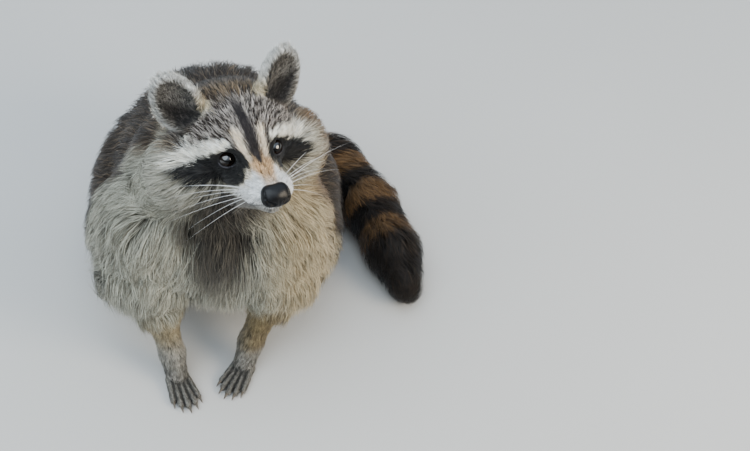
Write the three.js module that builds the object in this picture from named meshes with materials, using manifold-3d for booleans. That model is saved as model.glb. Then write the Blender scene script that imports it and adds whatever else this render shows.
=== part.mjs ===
// A life-size raccoon sitting on its haunches with the forelegs straight and the head raised and
// turned to its left. It is one still body, parted by thin cuts where a person would name its parts.
// Millimetres. +X is the animal's left, +Y its rear and +Z is up. The floor is z = 0.
// Each flesh part is cut from one smooth body shape that reaches out to the tips of the coat.
import * as THREE from "three";
import { mergeVertices } from "three/addons/utils/BufferGeometryUtils.js";
import Module from "manifold-3d";

const wasm = await Module();
wasm.setup();

// ---- driving dimensions --------------------------------------------------------------------
const GAP = 0.3; // clearance left between neighbouring solids
const FINEST = 0.06; // corners that stand out less than this from their part are dropped
const SIDES = [["right", -1], ["left", 1]];

const HEAD_AT = new THREE.Vector3(34, -20, 315); // the point midway between the eyes
const HEAD_YAW = 22.3; // degrees that the face turns to the animal's left
const HEAD_PITCH = 22.5; // degrees that the muzzle is raised

const RUMP_RADIUS = 106;
const RUMP_AT = [0, 178, 103];
const EYE_RADIUS = 8.2;
const EYE_SPACING = 42; // between the eyes' middles
const EAR_SPACING = 80; // between the ears' roots
const EAR_HALF_WIDTH = 21;
const EAR_HALF_HEIGHT = 31;
const EAR_HALF_DEPTH = 10.5;
const CLAW_LENGTH = 10;
const CLAW_RADIUS = 1.9;

// Each foreleg: its shoulder, elbow, the end of its shaggy sleeve, its wrist, and where the middle
// finger points. The right paw stands ahead.
const FORELEG = {
  right: {
    shoulder: [-56, 20, 185], elbow: [-55, 16, 118], cuff: [-49, 5, 80], wrist: [-37, -7, 28], toward: [-16, -60, 6],
  },
  left: {
    shoulder: [58, 26, 185], elbow: [63, 30, 118], cuff: [56, 21, 80], wrist: [39, 9, 28], toward: [21, -29, 6],
  },
};
// Digits, outermost spread first: sideways place across the palm, length, and fan angle in radians
const FINGERS = [[-7.6, 24, -0.18], [-3.9, 31, -0.09], [0, 34, 0], [3.9, 32, 0.09], [7.6, 26, 0.18]];
const TOES = [[-10, 20, -0.24], [-5, 27, -0.11], [0, 29, 0], [5, 27, 0.11], [10, 20, 0.24]];

// The tail leaves the rump, lies down on the floor and curls forward along the left side
const TAIL = [
  { at: [18, 246, 56], radius: 36 },
  { at: [68, 274, 33], radius: 34.5 },
  { at: [122, 252, 31], radius: 32.5 },
  { at: [158, 196, 31], radius: 32 },
  { at: [182, 134, 29], radius: 30.5 },
  { at: [194, 92, 22], radius: 23 },
];

// How many times the rays' icosahedron is split along an edge: more where the form is finer
const DETAIL = { trunk: 4, neck: 3, head: 6, tail: 3, limb: 3, shin: 2, palm: 1 };

// ---- frames and small vector helpers ---------------------------------------------------------
const vec = (p) => (p.isVector3 ? p.clone() : new THREE.Vector3(...p));
const rad = THREE.MathUtils.degToRad;

const forward = new THREE.Vector3(
  Math.sin(rad(HEAD_YAW)) * Math.cos(rad(HEAD_PITCH)),
  -Math.cos(rad(HEAD_YAW)) * Math.cos(rad(HEAD_PITCH)),
  Math.sin(rad(HEAD_PITCH)),
);
const toLeft = new THREE.Vector3(Math.cos(rad(HEAD_YAW)), Math.sin(rad(HEAD_YAW)), 0);
const upward = new THREE.Vector3().crossVectors(toLeft, forward).negate();
const HEAD_AXES = [forward, toLeft, upward];
const BODY_AXES = [new THREE.Vector3(1, 0, 0), new THREE.Vector3(0, 1, 0), new THREE.Vector3(0, 0, 1)];

// A direction and a point given as forward, left and up of the head
function headDirection([f, l, u]) {
  return new THREE.Vector3().addScaledVector(forward, f).addScaledVector(toLeft, l).addScaledVector(upward, u);
}
const headPoint = (p) => headDirection(p).add(HEAD_AT);

// ---- the body shape: balls and tapered limbs that blend into each other ------------------------
const shapes = [];
let group = "trunk"; // each shape belongs to the group that is current when it is made

// An ellipsoid, blending with what is before it over a width of blend
function ball(centre, radii, blend, axes = BODY_AXES) {
  const c = vec(centre);
  const r = vec(radii);
  shapes.push({ group, blend, distance: (p) => ellipsoidDistance(p, c, r, axes) });
}

function ellipsoidDistance(p, centre, radii, axes) {
  const d = p.clone().sub(centre);
  const local = new THREE.Vector3(d.dot(axes[0]), d.dot(axes[1]), d.dot(axes[2]));
  const once = local.divide(radii);
  const k = once.length() + 1e-9;
  return (k * (k - 1)) / (once.divide(radii).length() + 1e-9);
}

// A straight limb with round ends, its radius changing from one end to the other
function limb(from, to, radiusFrom, radiusTo, blend) {
  const a = vec(from);
  const along = vec(to).sub(a);
  const distance = (p) => {
    const d = p.clone().sub(a);
    const t = THREE.MathUtils.clamp(d.dot(along) / along.lengthSq(), 0, 1);
    return d.addScaledVector(along, -t).length() - THREE.MathUtils.lerp(radiusFrom, radiusTo, t);
  };
  shapes.push({ group, blend, distance });
}

const headBall = (centre, radii, blend) => ball(headPoint(centre), radii, blend, HEAD_AXES);
const headLimb = (from, to, r0, r1, blend) => limb(headPoint(from), headPoint(to), r0, r1, blend);

function smoothLow(a, b, blend) {
  const h = blend > 0 ? Math.max(blend - Math.abs(a - b), 0) / blend : 0;
  return Math.min(a, b) - h * h * blend * 0.25;
}
const smoothHigh = (a, b, blend) => -smoothLow(-a, -b, blend);

// Trunk: rump and loin low at the back, chest and shoulders in front
ball(RUMP_AT, [RUMP_RADIUS, RUMP_RADIUS, RUMP_RADIUS], 0);
ball([0, 112, 140], [104, 100, 98], 40);
ball([0, 42, 172], [92, 74, 84], 40);
for (const [, s] of SIDES) {
  ball([62 * s, 42, 146], [58, 56, 76], 30);
  ball([74 * s, 150, 78], [52, 84, 76], 30);
}
ball([-88, 18, 119], [33, 34, 27], 18); // fur fanned out over the right elbow
group = "neck";
limb([2, 52, 222], [14, 30, 272], 80, 62, 40);
// The long hair of the cheeks runs on down the sides of the neck
limb([-34, 6, 264], [-48, 24, 220], 26, 24, 24);
limb([72, 40, 264], [66, 50, 218], 26, 24, 24);

group = "head";
// Head: cranium and brow, full cheeks with ruffs behind them, a slim muzzle over a small jaw
headBall([-36, 0, 6], [46, 50, 38], 24);
headBall([-10, 0, 6], [28, 40, 25], 14);
for (const [, s] of SIDES) {
  headBall([-30, 40 * s, -18], [34, 32, 28], 16);
  headBall([-46, 58 * s, -18], [27, 25, 32], 26);
}
headLimb([4, 0, -12], [46, 0, -18], 24, 13.5, 10);
headLimb([-18, 0, -30], [39, 0, -29], 24, 10, 8);
for (const [, s] of SIDES) {
  headBall([32, 11.5 * s, -20], [17, 11, 11.5], 6);
}

// Palms and soles, to which the digits are joined
const feet = {};
for (const [side, s] of SIDES) {
  const { shoulder, elbow, cuff, wrist, toward } = FORELEG[side];
  const heading = vec(toward).sub(vec(wrist)).setZ(0).normalize();
  const palm = vec(wrist).addScaledVector(heading, 15).setZ(8);
  group = `foreleg_${side}`;
  limb(shoulder, elbow, 44, 36, 24);
  limb(elbow, cuff, 36, 25, 16);
  limb(cuff, wrist, 16, 12.5, 12);
  limb(wrist, palm, 12.5, 11.5, 8);
  feet[`forepaw_${side}`] = {
    palm, heading, list: FINGERS, setback: 0, rootZ: 6, tipZ: 3.4, rootRadius: 4.5, tipRadius: 3.4,
  };

  const heel = vec([77 * s, 182, 13]);
  const instep = vec([80 * s, 114, 10.5]);
  group = `hindleg_${side}`;
  limb([56 * s, 185, 92], [86 * s, 96, 88], 52, 42, 24);
  limb([86 * s, 100, 80], [80 * s, 164, 34], 34, 20, 16);
  group = `hindfoot_${side}`;
  limb(heel, instep, 14.5, 12, 8);
  feet[`hindfoot_${side}`] = {
    palm: instep, heading: instep.clone().sub(heel).setZ(0).normalize(),
    list: TOES, setback: 3, rootZ: 5.4, tipZ: 3.8, rootRadius: 5.4, tipRadius: 4.2,
  };
}

group = "tail";
TAIL.slice(1).forEach((end, i) => {
  limb(TAIL[i].at, end.at, TAIL[i].radius, end.radius, i === 0 ? 20 : 14);
});

// Shallow hollows in the face, so that each eye looks out of the coat
const eyeCentres = SIDES.map(([, s]) => headPoint([-3.5, (EYE_SPACING / 2) * s, 0]));
const hollows = SIDES.map(([, s]) => ({
  centre: headPoint([6.5, (EYE_SPACING / 2 + 4) * s, 0]),
  radii: new THREE.Vector3(10, 9, 8),
}));

function bodyDistance(p, groups) {
  let d = 1e3;
  for (const shape of shapes) {
    if (groups.includes(shape.group)) d = smoothLow(d, shape.distance(p), shape.blend);
  }
  for (const { centre, radii } of hollows) {
    d = smoothHigh(d, -ellipsoidDistance(p, centre, radii, HEAD_AXES), 4);
  }
  return d;
}

// ---- solids ------------------------------------------------------------------------------------
// A closed mesh as a solid, moved to its place once its shared corners are one
function solidOf(geometry, place = new THREE.Matrix4()) {
  const bare = geometry.clone();
  bare.deleteAttribute("normal");
  bare.deleteAttribute("uv");
  const merged = mergeVertices(bare, 1e-4);
  const triangles = [];
  const index = merged.index.array;
  for (let n = 0; n < index.length; n += 3) {
    const [a, b, c] = index.slice(n, n + 3);
    if (a !== b && b !== c && c !== a) triangles.push(a, b, c);
  }
  merged.applyMatrix4(place);
  return new wasm.Manifold(new wasm.Mesh({
    numProp: 3,
    vertProperties: new Float32Array(merged.attributes.position.array),
    triVerts: new Uint32Array(triangles),
  }));
}

function placed(geometry, centre, axes = BODY_AXES) {
  return solidOf(geometry, new THREE.Matrix4().makeBasis(...axes).setPosition(vec(centre)));
}

// Each cutter is a function of the clearance by which it is made larger
const block = (centre, size, axes) => (clearance) =>
  placed(new THREE.BoxGeometry(...size.map((n) => n + 2 * clearance)), centre, axes);

const dome = (centre, radii, axes, across = 12, down = 6) => (clearance) => {
  const sphere = new THREE.SphereGeometry(1, across, down);
  sphere.scale(...radii.map((n) => n + clearance));
  return placed(sphere, centre, axes);
};

const FAR = 600; // a block this large cuts like a plane
function beyond(point, direction) {
  const z = vec(direction).normalize();
  const aside = Math.abs(z.z) > 0.9 ? BODY_AXES[0] : BODY_AXES[2];
  const x = new THREE.Vector3().crossVectors(aside, z).normalize();
  const y = new THREE.Vector3().crossVectors(z, x);
  const centre = vec(point).addScaledVector(z, FAR / 2);
  return block(centre, [FAR, FAR, FAR], [x, y, z]);
}

// The surface of some groups of shapes, found by straight rays out of a centre inside them. The
// rays are spread over an ellipsoid of the part's rough half sizes, so that they end evenly.
const flesh = (groups, detail, centre, halfSizes, axes = BODY_AXES) => (clearance) => {
  const rays = new THREE.IcosahedronGeometry(1, detail);
  rays.deleteAttribute("normal");
  rays.deleteAttribute("uv");
  const geometry = mergeVertices(rays, 1e-4);
  const position = geometry.attributes.position;
  const start = vec(centre);
  for (let n = 0; n < position.count; n += 1) {
    const ray = new THREE.Vector3();
    axes.forEach((axis, i) => ray.addScaledVector(axis, position.getComponent(n, i) * halfSizes[i]));
    ray.normalize();
    let reach = 0;
    const here = start.clone();
    for (let step = 0; step < 60; step += 1) {
      const depth = clearance - bodyDistance(here, groups);
      if (depth < 0.01) break;
      reach += depth * 0.8;
      here.copy(start).addScaledVector(ray, reach);
    }
    position.setXYZ(n, here.x, here.y, here.z);
  }
  return solidOf(geometry);
};

// Axes with the first one along a limb, and the others across it
function axesAlong(from, to) {
  const x = vec(to).sub(vec(from)).normalize();
  const y = new THREE.Vector3(0, 0, 1).cross(x).normalize();
  return [x, y, new THREE.Vector3().crossVectors(x, y)];
}
const midway = (a, b) => vec(a).add(vec(b)).multiplyScalar(0.5);

// A tapered rod with round ends, for a digit
function rod(from, to, radiusFrom, radiusTo, clearance) {
  const length = vec(to).sub(vec(from)).length();
  const profile = [];
  for (const [at, radius, ends] of [[0, radiusFrom, [-90, 0]], [length, radiusTo, [25, 90]]]) {
    for (const angle of ends) {
      const r = Math.abs(angle) === 90 ? 0 : (radius + clearance) * Math.cos(rad(angle));
      profile.push(new THREE.Vector2(r, at + (radius + clearance) * Math.sin(rad(angle))));
    }
  }
  const [x, y, z] = axesAlong(from, to);
  return placed(new THREE.LatheGeometry(profile, 5), from, [y, x, z.negate()]);
}

// ---- the parts: each is what is within some cutters, less what its neighbours need --------------------
const aboveFloor = beyond([0, 0, 0], [0, 0, 1]);
const parts = [];
function part(name, finish, shape, { within = [], clearOf = [], joinedTo = [] } = {}) {
  let solid = shape(0).intersect(aboveFloor(0));
  for (const cutter of within) solid = solid.intersect(cutter(0));
  for (const other of joinedTo) solid = solid.add(other(0).intersect(aboveFloor(0)));
  for (const other of clearOf) solid = solid.subtract(other(GAP));
  // A cut can leave a crumb of no volume beside the part, which is dropped
  const bodies = solid.decompose();
  const largest = bodies.reduce((a, b) => (b.volume() > a.volume() ? b : a));
  parts.push({ name, finish, solid: largest.simplify(FINEST) });
}

// An ear is an oval shell: half an egg, hollowed by a smaller one from the front
const ears = SIDES.map(([, s]) => {
  const stem = headDirection([-0.12, 0.4 * s, 0.9]).normalize();
  const facing = headDirection([0.9, 0.3 * s, 0.1]);
  facing.addScaledVector(stem, -facing.dot(stem)).normalize();
  const axes = [new THREE.Vector3().crossVectors(stem, facing), stem, facing];
  const root = headPoint([-40, (EAR_SPACING / 2) * s, 30]);
  const outerAt = root.clone().addScaledVector(stem, 14);
  const cupAt = root.clone().addScaledVector(stem, 17).addScaledVector(facing, 8);
  const outer = dome(outerAt, [EAR_HALF_WIDTH, EAR_HALF_HEIGHT, EAR_HALF_DEPTH], axes, 12, 8);
  const cup = dome(cupAt, [EAR_HALF_WIDTH - 6, EAR_HALF_HEIGHT - 7, 9], axes, 10, 6);
  return (clearance) => outer(clearance).subtract(cup(-clearance));
});
const eyes = eyeCentres.map((centre) => dome(centre, [EYE_RADIUS, EYE_RADIUS, EYE_RADIUS], HEAD_AXES, 10, 6));
const nose = dome(headPoint([53, 0, -17.5]), [9, 12, 10], HEAD_AXES, 10, 6);
SIDES.forEach(([side], i) => {
  part(`ear_${side}`, "ear", ears[i]);
  part(`eye_${side}`, "eye", eyes[i]);
});
part("nose", "nose", nose);

// The head ends at a slanting cut behind the skull and the ruffs, and the neck at the shoulders
const napeCut = beyond(headPoint([-43, 0, -14]), headDirection([0.8, 0, 0.6]));
const collarCut = beyond([4, 46, 232], [12, -22, 50]);
part("head", "head", flesh(["head", "neck"], DETAIL.head, headPoint([-14, 0, -10]), [66, 56, 42], HEAD_AXES), {
  within: [napeCut],
  clearOf: [...ears, ...eyes, nose],
});
part("neck", "neck", flesh(["trunk", "neck"], DETAIL.neck, [8, 42, 246], [85, 85, 70]), {
  within: [collarCut],
  clearOf: [napeCut],
});

// A claw is a blunt taper that leans down a little, its root set in the toe
const claw = (tip, out, radius) => (clearance) => {
  const outline = [[0, 0], [1, 0], [0.75, 0.6], [0, 1]];
  const profile = outline.map(([r, z]) => new THREE.Vector2(
    r > 0 ? r * CLAW_RADIUS + clearance : 0,
    z * CLAW_LENGTH + (z === 0 ? -clearance : z === 1 ? clearance : 0),
  ));
  const along = out.clone().setZ(-0.12).normalize();
  const across = new THREE.Vector3(0, 0, 1).cross(along).normalize();
  const start = tip.clone().addScaledVector(out, radius - 4.5).setZ(3.6);
  const lathe = new THREE.LatheGeometry(profile, 5);
  return placed(lathe, start, [across, along, new THREE.Vector3().crossVectors(across, along)]);
};

// Five digits fan out from a palm or a sole, and each ends in a claw
function paw(name, palmFlesh, within) {
  const { palm, heading, list, setback, rootZ, tipZ, rootRadius, tipRadius } = feet[name];
  const across = new THREE.Vector3(-heading.y, heading.x, 0);
  const digits = [];
  const claws = [];
  list.forEach(([offset, length, fan], i) => {
    const out = heading.clone().multiplyScalar(Math.cos(fan)).addScaledVector(across, Math.sin(fan));
    const root = palm.clone().addScaledVector(across, offset);
    root.addScaledVector(heading, setback).setZ(rootZ);
    const tip = root.clone().addScaledVector(out, length).setZ(tipZ);
    digits.push((clearance) => rod(root, tip, rootRadius, tipRadius, clearance));
    claws.push(claw(tip, out, tipRadius));
    part(`${name}_claw_${i + 1}`, "claw", claws[i]);
  });
  part(name, "paw", palmFlesh, { within, joinedTo: digits, clearOf: claws });
  return (clearance) => digits.reduce((whole, digit) => whole.add(digit(clearance)), palmFlesh(clearance));
}

const WRIST_Z = 30;
const ELBOW_Z = 92;
const legCuts = []; // what the trunk leaves clear for the legs
for (const [side, s] of SIDES) {
  const { elbow, wrist } = FORELEG[side];
  const leg = `foreleg_${side}`;
  const { palm } = feet[`forepaw_${side}`];
  const belowWrist = beyond([0, 0, WRIST_Z], [0, 0, -1]);
  paw(`forepaw_${side}`, flesh([leg], DETAIL.palm, [palm.x, palm.y + 6, 13], [16, 20, 22]), [belowWrist]);

  const middle = midway(elbow, wrist);
  const belowElbow = beyond([0, 0, ELBOW_Z], [0, 0, -1]);
  const shin = flesh([leg], DETAIL.shin, middle, [52, 24, 24], axesAlong(elbow, wrist));
  part(`foreleg_${side}_lower`, "leg", shin, { within: [belowElbow], clearOf: [belowWrist] });

  const shinRoom = (clearance) => shin(clearance).intersect(belowElbow(clearance));

  const armCut = dome([60 * s, 20, 142], [42, 50, 76]);
  part(`foreleg_${side}_upper`, "leg", flesh(["trunk", leg], DETAIL.limb, [60 * s, 22, 142], [42, 50, 76]), {
    within: [armCut],
    clearOf: [belowElbow, collarCut],
  });

  const sole = paw(`hindfoot_${side}`, flesh([`hindfoot_${side}`], DETAIL.palm, [79 * s, 148, 12], [15, 50, 14]));

  const hind = ["trunk", `hindleg_${side}`];
  const shank = axesAlong([86 * s, 92, 84], [80 * s, 176, 28]);
  const shankCut = block([88 * s, 130, 54], [96, 64, 40], shank);
  part(`hindleg_${side}_shank`, "leg", flesh(hind, DETAIL.shin, [84 * s, 130, 54], [56, 40, 40], shank), {
    within: [shankCut],
    clearOf: [sole],
  });

  const thighCut = dome([92 * s, 140, 78], [50, 92, 80]);
  part(`hindleg_${side}_thigh`, "leg", flesh(hind, DETAIL.limb, [84 * s, 140, 80], [46, 88, 78]), {
    within: [thighCut],
    clearOf: [shankCut, sole, armCut, shinRoom],
  });
  legCuts.push(shinRoom, armCut, sole, shankCut, thighCut);
}

// The tail is parted across at its third and fifth bends
function bendCut(n) {
  const before = vec(TAIL[n].at).sub(vec(TAIL[n - 1].at)).setZ(0).normalize();
  const after = vec(TAIL[n + 1].at).sub(vec(TAIL[n].at)).setZ(0).normalize();
  return beyond(TAIL[n].at, before.add(after));
}
const middleCut = bendCut(2);
const tipCut = bendCut(4);
function tailFlesh(from, to, middle) {
  const axes = axesAlong([TAIL[from].at[0], TAIL[from].at[1], 0], [TAIL[to].at[0], TAIL[to].at[1], 0]);
  return flesh(["tail"], DETAIL.tail, middle, [80, 34, 34], axes);
}
const trunk = flesh(["trunk", "neck"], DETAIL.trunk, [0, 118, 128], [104, 120, 110]);
part("trunk", "trunk", trunk, { clearOf: [collarCut, ...legCuts] });
part("tail_base", "tail", tailFlesh(0, 2, [72, 266, 34]), { clearOf: [trunk, middleCut] });
part("tail_middle", "tail", tailFlesh(2, 4, TAIL[3].at), { within: [middleCut], clearOf: [tipCut] });
part("tail_tip", "tail", tailFlesh(4, 5, midway(TAIL[4].at, TAIL[5].at)), { within: [tipCut] });

// ---- colours and the finished model ----------------------------------------------------------------
const FINISHES = {
  head: { color: 0x8f8880, roughness: 0.95 },
  neck: { color: 0xa39c8e, roughness: 0.95 },
  trunk: { color: 0x857c70, roughness: 0.95 },
  leg: { color: 0xa1927c, roughness: 0.95 },
  paw: { color: 0xa9a49c, roughness: 0.9 },
  tail: { color: 0x5a4a3c, roughness: 0.95 },
  ear: { color: 0xc4c2bd, roughness: 0.95 },
  eye: { color: 0x0d0b0a, roughness: 0.05 },
  nose: { color: 0x232326, roughness: 0.4 },
  claw: { color: 0xb8ac97, roughness: 0.4 },
};

const raccoon = new THREE.Group();
function addPart({ name, solid, finish }) {
  const { vertProperties, triVerts, numProp } = solid.getMesh();
  const positions = new Float32Array((vertProperties.length / numProp) * 3);
  for (let n = 0; n < positions.length / 3; n += 1) {
    positions.set(vertProperties.subarray(n * numProp, n * numProp + 3), n * 3);
  }
  const geometry = new THREE.BufferGeometry();
  geometry.setAttribute("position", new THREE.BufferAttribute(positions, 3));
  geometry.setIndex(Array.from(triVerts));
  geometry.computeBoundingBox();
  const centre = geometry.boundingBox.getCenter(new THREE.Vector3());
  geometry.translate(-centre.x, -centre.y, -centre.z);
  geometry.computeVertexNormals();
  const mesh = new THREE.Mesh(geometry, new THREE.MeshStandardMaterial({ metalness: 0, ...FINISHES[finish] }));
  mesh.name = name;
  mesh.position.copy(centre);
  raccoon.add(mesh);
}

parts.forEach(addPart);

// The origin is under the middle of the whole animal, on the floor
const bounds = new THREE.Box3().setFromObject(raccoon);
raccoon.position.set(-(bounds.min.x + bounds.max.x) / 2, -(bounds.min.y + bounds.max.y) / 2, 0);

export default raccoon;
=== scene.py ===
# A life-size raccoon, sitting on its haunches with its head raised and turned to its left.
# Places and sizes are millimetres in the body's own frame until a mesh is made: +X is the
# animal's left, +Y its rear and +Z is up, and the floor is z = 0.
import math

import bmesh
import bpy
import numpy as np
from mathutils import Matrix, Vector
from mathutils.kdtree import KDTree


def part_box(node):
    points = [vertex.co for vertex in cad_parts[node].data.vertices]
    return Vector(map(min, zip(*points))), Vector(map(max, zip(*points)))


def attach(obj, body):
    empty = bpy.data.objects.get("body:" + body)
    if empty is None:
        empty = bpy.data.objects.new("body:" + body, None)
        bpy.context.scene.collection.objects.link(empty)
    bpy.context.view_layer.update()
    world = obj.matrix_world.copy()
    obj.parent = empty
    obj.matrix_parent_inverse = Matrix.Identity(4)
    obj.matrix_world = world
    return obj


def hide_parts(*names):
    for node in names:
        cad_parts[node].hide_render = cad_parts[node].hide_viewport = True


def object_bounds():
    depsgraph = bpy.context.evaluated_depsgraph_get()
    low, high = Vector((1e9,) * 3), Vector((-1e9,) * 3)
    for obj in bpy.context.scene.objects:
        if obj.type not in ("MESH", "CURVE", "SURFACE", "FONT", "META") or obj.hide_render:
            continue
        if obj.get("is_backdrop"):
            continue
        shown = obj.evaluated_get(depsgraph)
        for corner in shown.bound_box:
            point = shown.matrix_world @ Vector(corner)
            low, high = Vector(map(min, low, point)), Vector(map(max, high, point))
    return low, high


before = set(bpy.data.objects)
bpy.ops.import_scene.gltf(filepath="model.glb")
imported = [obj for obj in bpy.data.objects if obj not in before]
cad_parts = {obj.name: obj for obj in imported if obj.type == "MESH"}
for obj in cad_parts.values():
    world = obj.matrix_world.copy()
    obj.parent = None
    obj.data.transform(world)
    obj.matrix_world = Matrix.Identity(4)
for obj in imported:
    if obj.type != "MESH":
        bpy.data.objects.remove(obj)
cad_low, cad_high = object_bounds()


# ---- the hide ------------------------------------------------------------------------------------
# The skin of the whole animal in one piece, as a mounter pulls it over the form: it runs on over
# the lids, lips, ears and feet with no seam. It lies deeper than the outline by the coat's depth,
# which is a few hairs' width on the face and feet and three centimetres on the trunk.
SIDES = (("right", -1), ("left", 1))
HEAD_AT = np.array([34.0, -20.0, 315.0])  # midway between the eyes
HEAD_YAW = math.radians(22.3)  # the face is turned to the animal's left
HEAD_PITCH = math.radians(22.5)  # and the muzzle raised


def pointing(turn, height):
    """A direction turned from straight ahead towards the animal's left, and raised (radians)."""
    level = math.cos(height)
    return np.array([math.sin(turn) * level, -math.cos(turn) * level, math.sin(height)])


def unit(v):
    return v / np.linalg.norm(v)


FACING = pointing(HEAD_YAW, HEAD_PITCH)
TO_LEFT = np.array([math.cos(HEAD_YAW), math.sin(HEAD_YAW), 0.0])
HEAD_AXES = np.stack([FACING, TO_LEFT, -np.cross(TO_LEFT, FACING)])  # forward, left, up
BODY_AXES = np.eye(3)


def head_point(forward, left, up):
    return HEAD_AT + np.array([forward, left, up]) @ HEAD_AXES


def head_direction(forward, left, up):
    return unit(np.array([forward, left, up]) @ HEAD_AXES)


EYE_RADIUS = 8.2
EYE_BACK = 3.5
EYE_APART = 42.0
METRE = 1000.0  # in millimetres
eye_centres = [head_point(-EYE_BACK, s * EYE_APART / 2, 0) for _, s in SIDES]
eye_axes = [head_direction(0.945, 0.122 * s, 0.305) for _, s in SIDES]

eye_low, eye_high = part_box("eye_left")
shift = np.array((eye_low + eye_high) / 2) * METRE - eye_centres[1]


def place(points):
    """Body millimetres to metres in the shared frame."""
    return (points + shift) / METRE


# Each shape of the body: its outer size out to the tips of the coat, how softly it blends with
# the shapes before it, the depth of its coat, and which way the hair on it lies
shapes = []
DOWN_THE_BODY = "down the body"
FROM_THE_NOSE = "back from the nose"


def ball(zone, centre, radii, blend, coat, lie=DOWN_THE_BODY, axes=BODY_AXES):
    shapes.append(
        dict(zone=zone, centre=np.array(centre, float), radii=np.array(radii, float),
             blend=blend, coat=coat, lie=lie, axes=axes)
    )


def limb(zone, start, end, radii, blend, coat, lie=None):
    start = np.array(start, float)
    along = np.array(end, float) - start
    shapes.append(
        dict(zone=zone, start=start, along=along, radii=radii, blend=blend, coat=coat,
             lie=unit(along) if lie is None else lie)
    )


ball("trunk", (0, 178, 103), (106, 106, 106), 0, 30)
ball("trunk", (0, 112, 140), (104, 100, 98), 40, 30)
ball("trunk", (0, 42, 172), (92, 74, 84), 40, 32)
for _, s in SIDES:
    ball("trunk", (62 * s, 42, 146), (58, 56, 76), 30, 28)
    ball("trunk", (74 * s, 150, 78), (52, 84, 76), 30, 22)
ball("trunk", (-88, 18, 119), (33, 34, 27), 18, 22)  # fur fanned out over the right elbow
limb("neck", (2, 52, 222), (14, 30, 272), (80, 62), 40, 26, DOWN_THE_BODY)
# The long hair of the cheeks runs on down the sides of the neck
limb("neck", (-34, 6, 264), (-48, 24, 220), (26, 24), 24, 15, DOWN_THE_BODY)
limb("neck", (72, 40, 264), (66, 50, 218), (26, 24), 24, 15, DOWN_THE_BODY)

SKULL = dict(lie=FROM_THE_NOSE, axes=HEAD_AXES)
ball("head", head_point(-36, 0, 6), (46, 50, 38), 24, 9, **SKULL)
ball("head", head_point(-10, 0, 6), (28, 40, 25), 14, 6, **SKULL)
for _, s in SIDES:
    ball("head", head_point(-30, 40 * s, -18), (34, 32, 28), 16, 14, **SKULL)
    ball("head", head_point(-46, 58 * s, -18), (27, 25, 32), 26, 17, **SKULL)
limb("head", head_point(4, 0, -12), head_point(46, 0, -18), (24, 13.5), 10, 3, FROM_THE_NOSE)
limb("head", head_point(-18, 0, -30), head_point(39, 0, -29), (24, 10), 8, 3, FROM_THE_NOSE)
for _, s in SIDES:
    ball("head", head_point(32, 11.5 * s, -20), (17, 11, 11.5), 6, 4, **SKULL)

# Shoulder, elbow, the shaggy sleeve's end, the wrist, and where the middle finger points
FORELEGS = {
    "right": ((-56, 20, 185), (-55, 16, 118), (-49, 5, 80), (-37, -7, 28), (-16, -60, 6)),
    "left": ((58, 26, 185), (63, 30, 118), (56, 21, 80), (39, 9, 28), (21, -29, 6)),
}
# Digits: sideways place on the palm, length, and fan angle in radians
FINGERS = ((-7.6, 24, -0.18), (-3.9, 31, -0.09), (0, 34, 0), (3.9, 32, 0.09), (7.6, 26, 0.18))
TOES = ((-10, 20, -0.24), (-5, 27, -0.11), (0, 29, 0), (5, 27, 0.11), (10, 20, 0.24))
digit_rods = []
feet = {}  # for each foot, its digits' tips and directions, where the claws grow


def digits(foot, palm, heading, fan, setback, heights, radii):
    across = np.array([-heading[1], heading[0], 0])
    feet[foot] = []
    for offset, length, angle in fan:
        out = heading * math.cos(angle) + across * math.sin(angle)
        root = palm + across * offset + heading * setback
        root[2] = heights[0]
        tip = root + out * length
        tip[2] = heights[1]
        limb("paw", root, tip, radii, 2, 0.9)
        digit_rods.append((root, tip - root, radii))
        feet[foot].append((tip, out, radii[1]))


for side, s in SIDES:
    shoulder, elbow, cuff, wrist, toward = (np.array(p, float) for p in FORELEGS[side])
    heading = unit((toward - wrist) * (1, 1, 0))
    palm = wrist + heading * 15
    palm[2] = 8
    limb("arm", shoulder, elbow, (44, 36), 24, 20)
    limb("arm", elbow, cuff, (36, 25), 16, 14)
    limb("shin", cuff, wrist, (16, 12.5), 12, 4)
    limb("paw", wrist, palm, (12.5, 11.5), 8, 2.5)
    digits(f"forepaw_{side}", palm, heading, FINGERS, 0, (6, 3.4), (4.5, 3.4))

    heel = np.array([77.0 * s, 182, 13])
    instep = np.array([80.0 * s, 114, 10.5])
    limb("thigh", (56 * s, 185, 92), (86 * s, 96, 88), (52, 42), 24, 20, DOWN_THE_BODY)
    limb("shank", (86 * s, 100, 80), (80 * s, 164, 34), (34, 20), 16, 10)
    limb("paw", heel, instep, (14.5, 12), 8, 3)
    heading = unit((instep - heel) * (1, 1, 0))
    digits(f"hindfoot_{side}", instep, heading, TOES, 3, (5.2, 3.8), (5.4, 4.2))

# The tail lies on the floor and curls forward along the left side: middle line and radius
TAIL = ((18, 246, 56, 36), (68, 274, 33, 34.5), (122, 252, 31, 32.5), (158, 196, 31, 32),
        (182, 134, 29, 30.5), (194, 92, 22, 23))
for before, after in zip(TAIL, TAIL[1:]):
    blend = 20 if before is TAIL[0] else 14
    limb("tail", before[:3], after[:3], (before[3], after[3]), blend, 18)

# An ear is an oval shell, hollowed from the front
EAR_OUTER = np.array([21, 31, 10.5])
EAR_CUP = np.array([15, 24, 9])
EAR_COAT = 2.2
ears = []
for _, s in SIDES:
    stem = head_direction(-0.12, 0.4 * s, 0.9)
    front = head_direction(0.9, 0.3 * s, 0.1)
    front = unit(front - stem * (front @ stem))
    ears.append((head_point(-40, 40 * s, 30), np.stack([np.cross(stem, front), stem, front])))


def length_of(v):
    return np.sqrt(np.einsum("...i,...i", v, v))


def egg_distance(local, radii):
    """Signed distance, near enough, to an egg of those half sizes about the origin."""
    scaled = local / radii
    once = length_of(scaled) + 1e-9
    return once * (once - 1) / (length_of(scaled / radii) + 1e-9)


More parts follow.
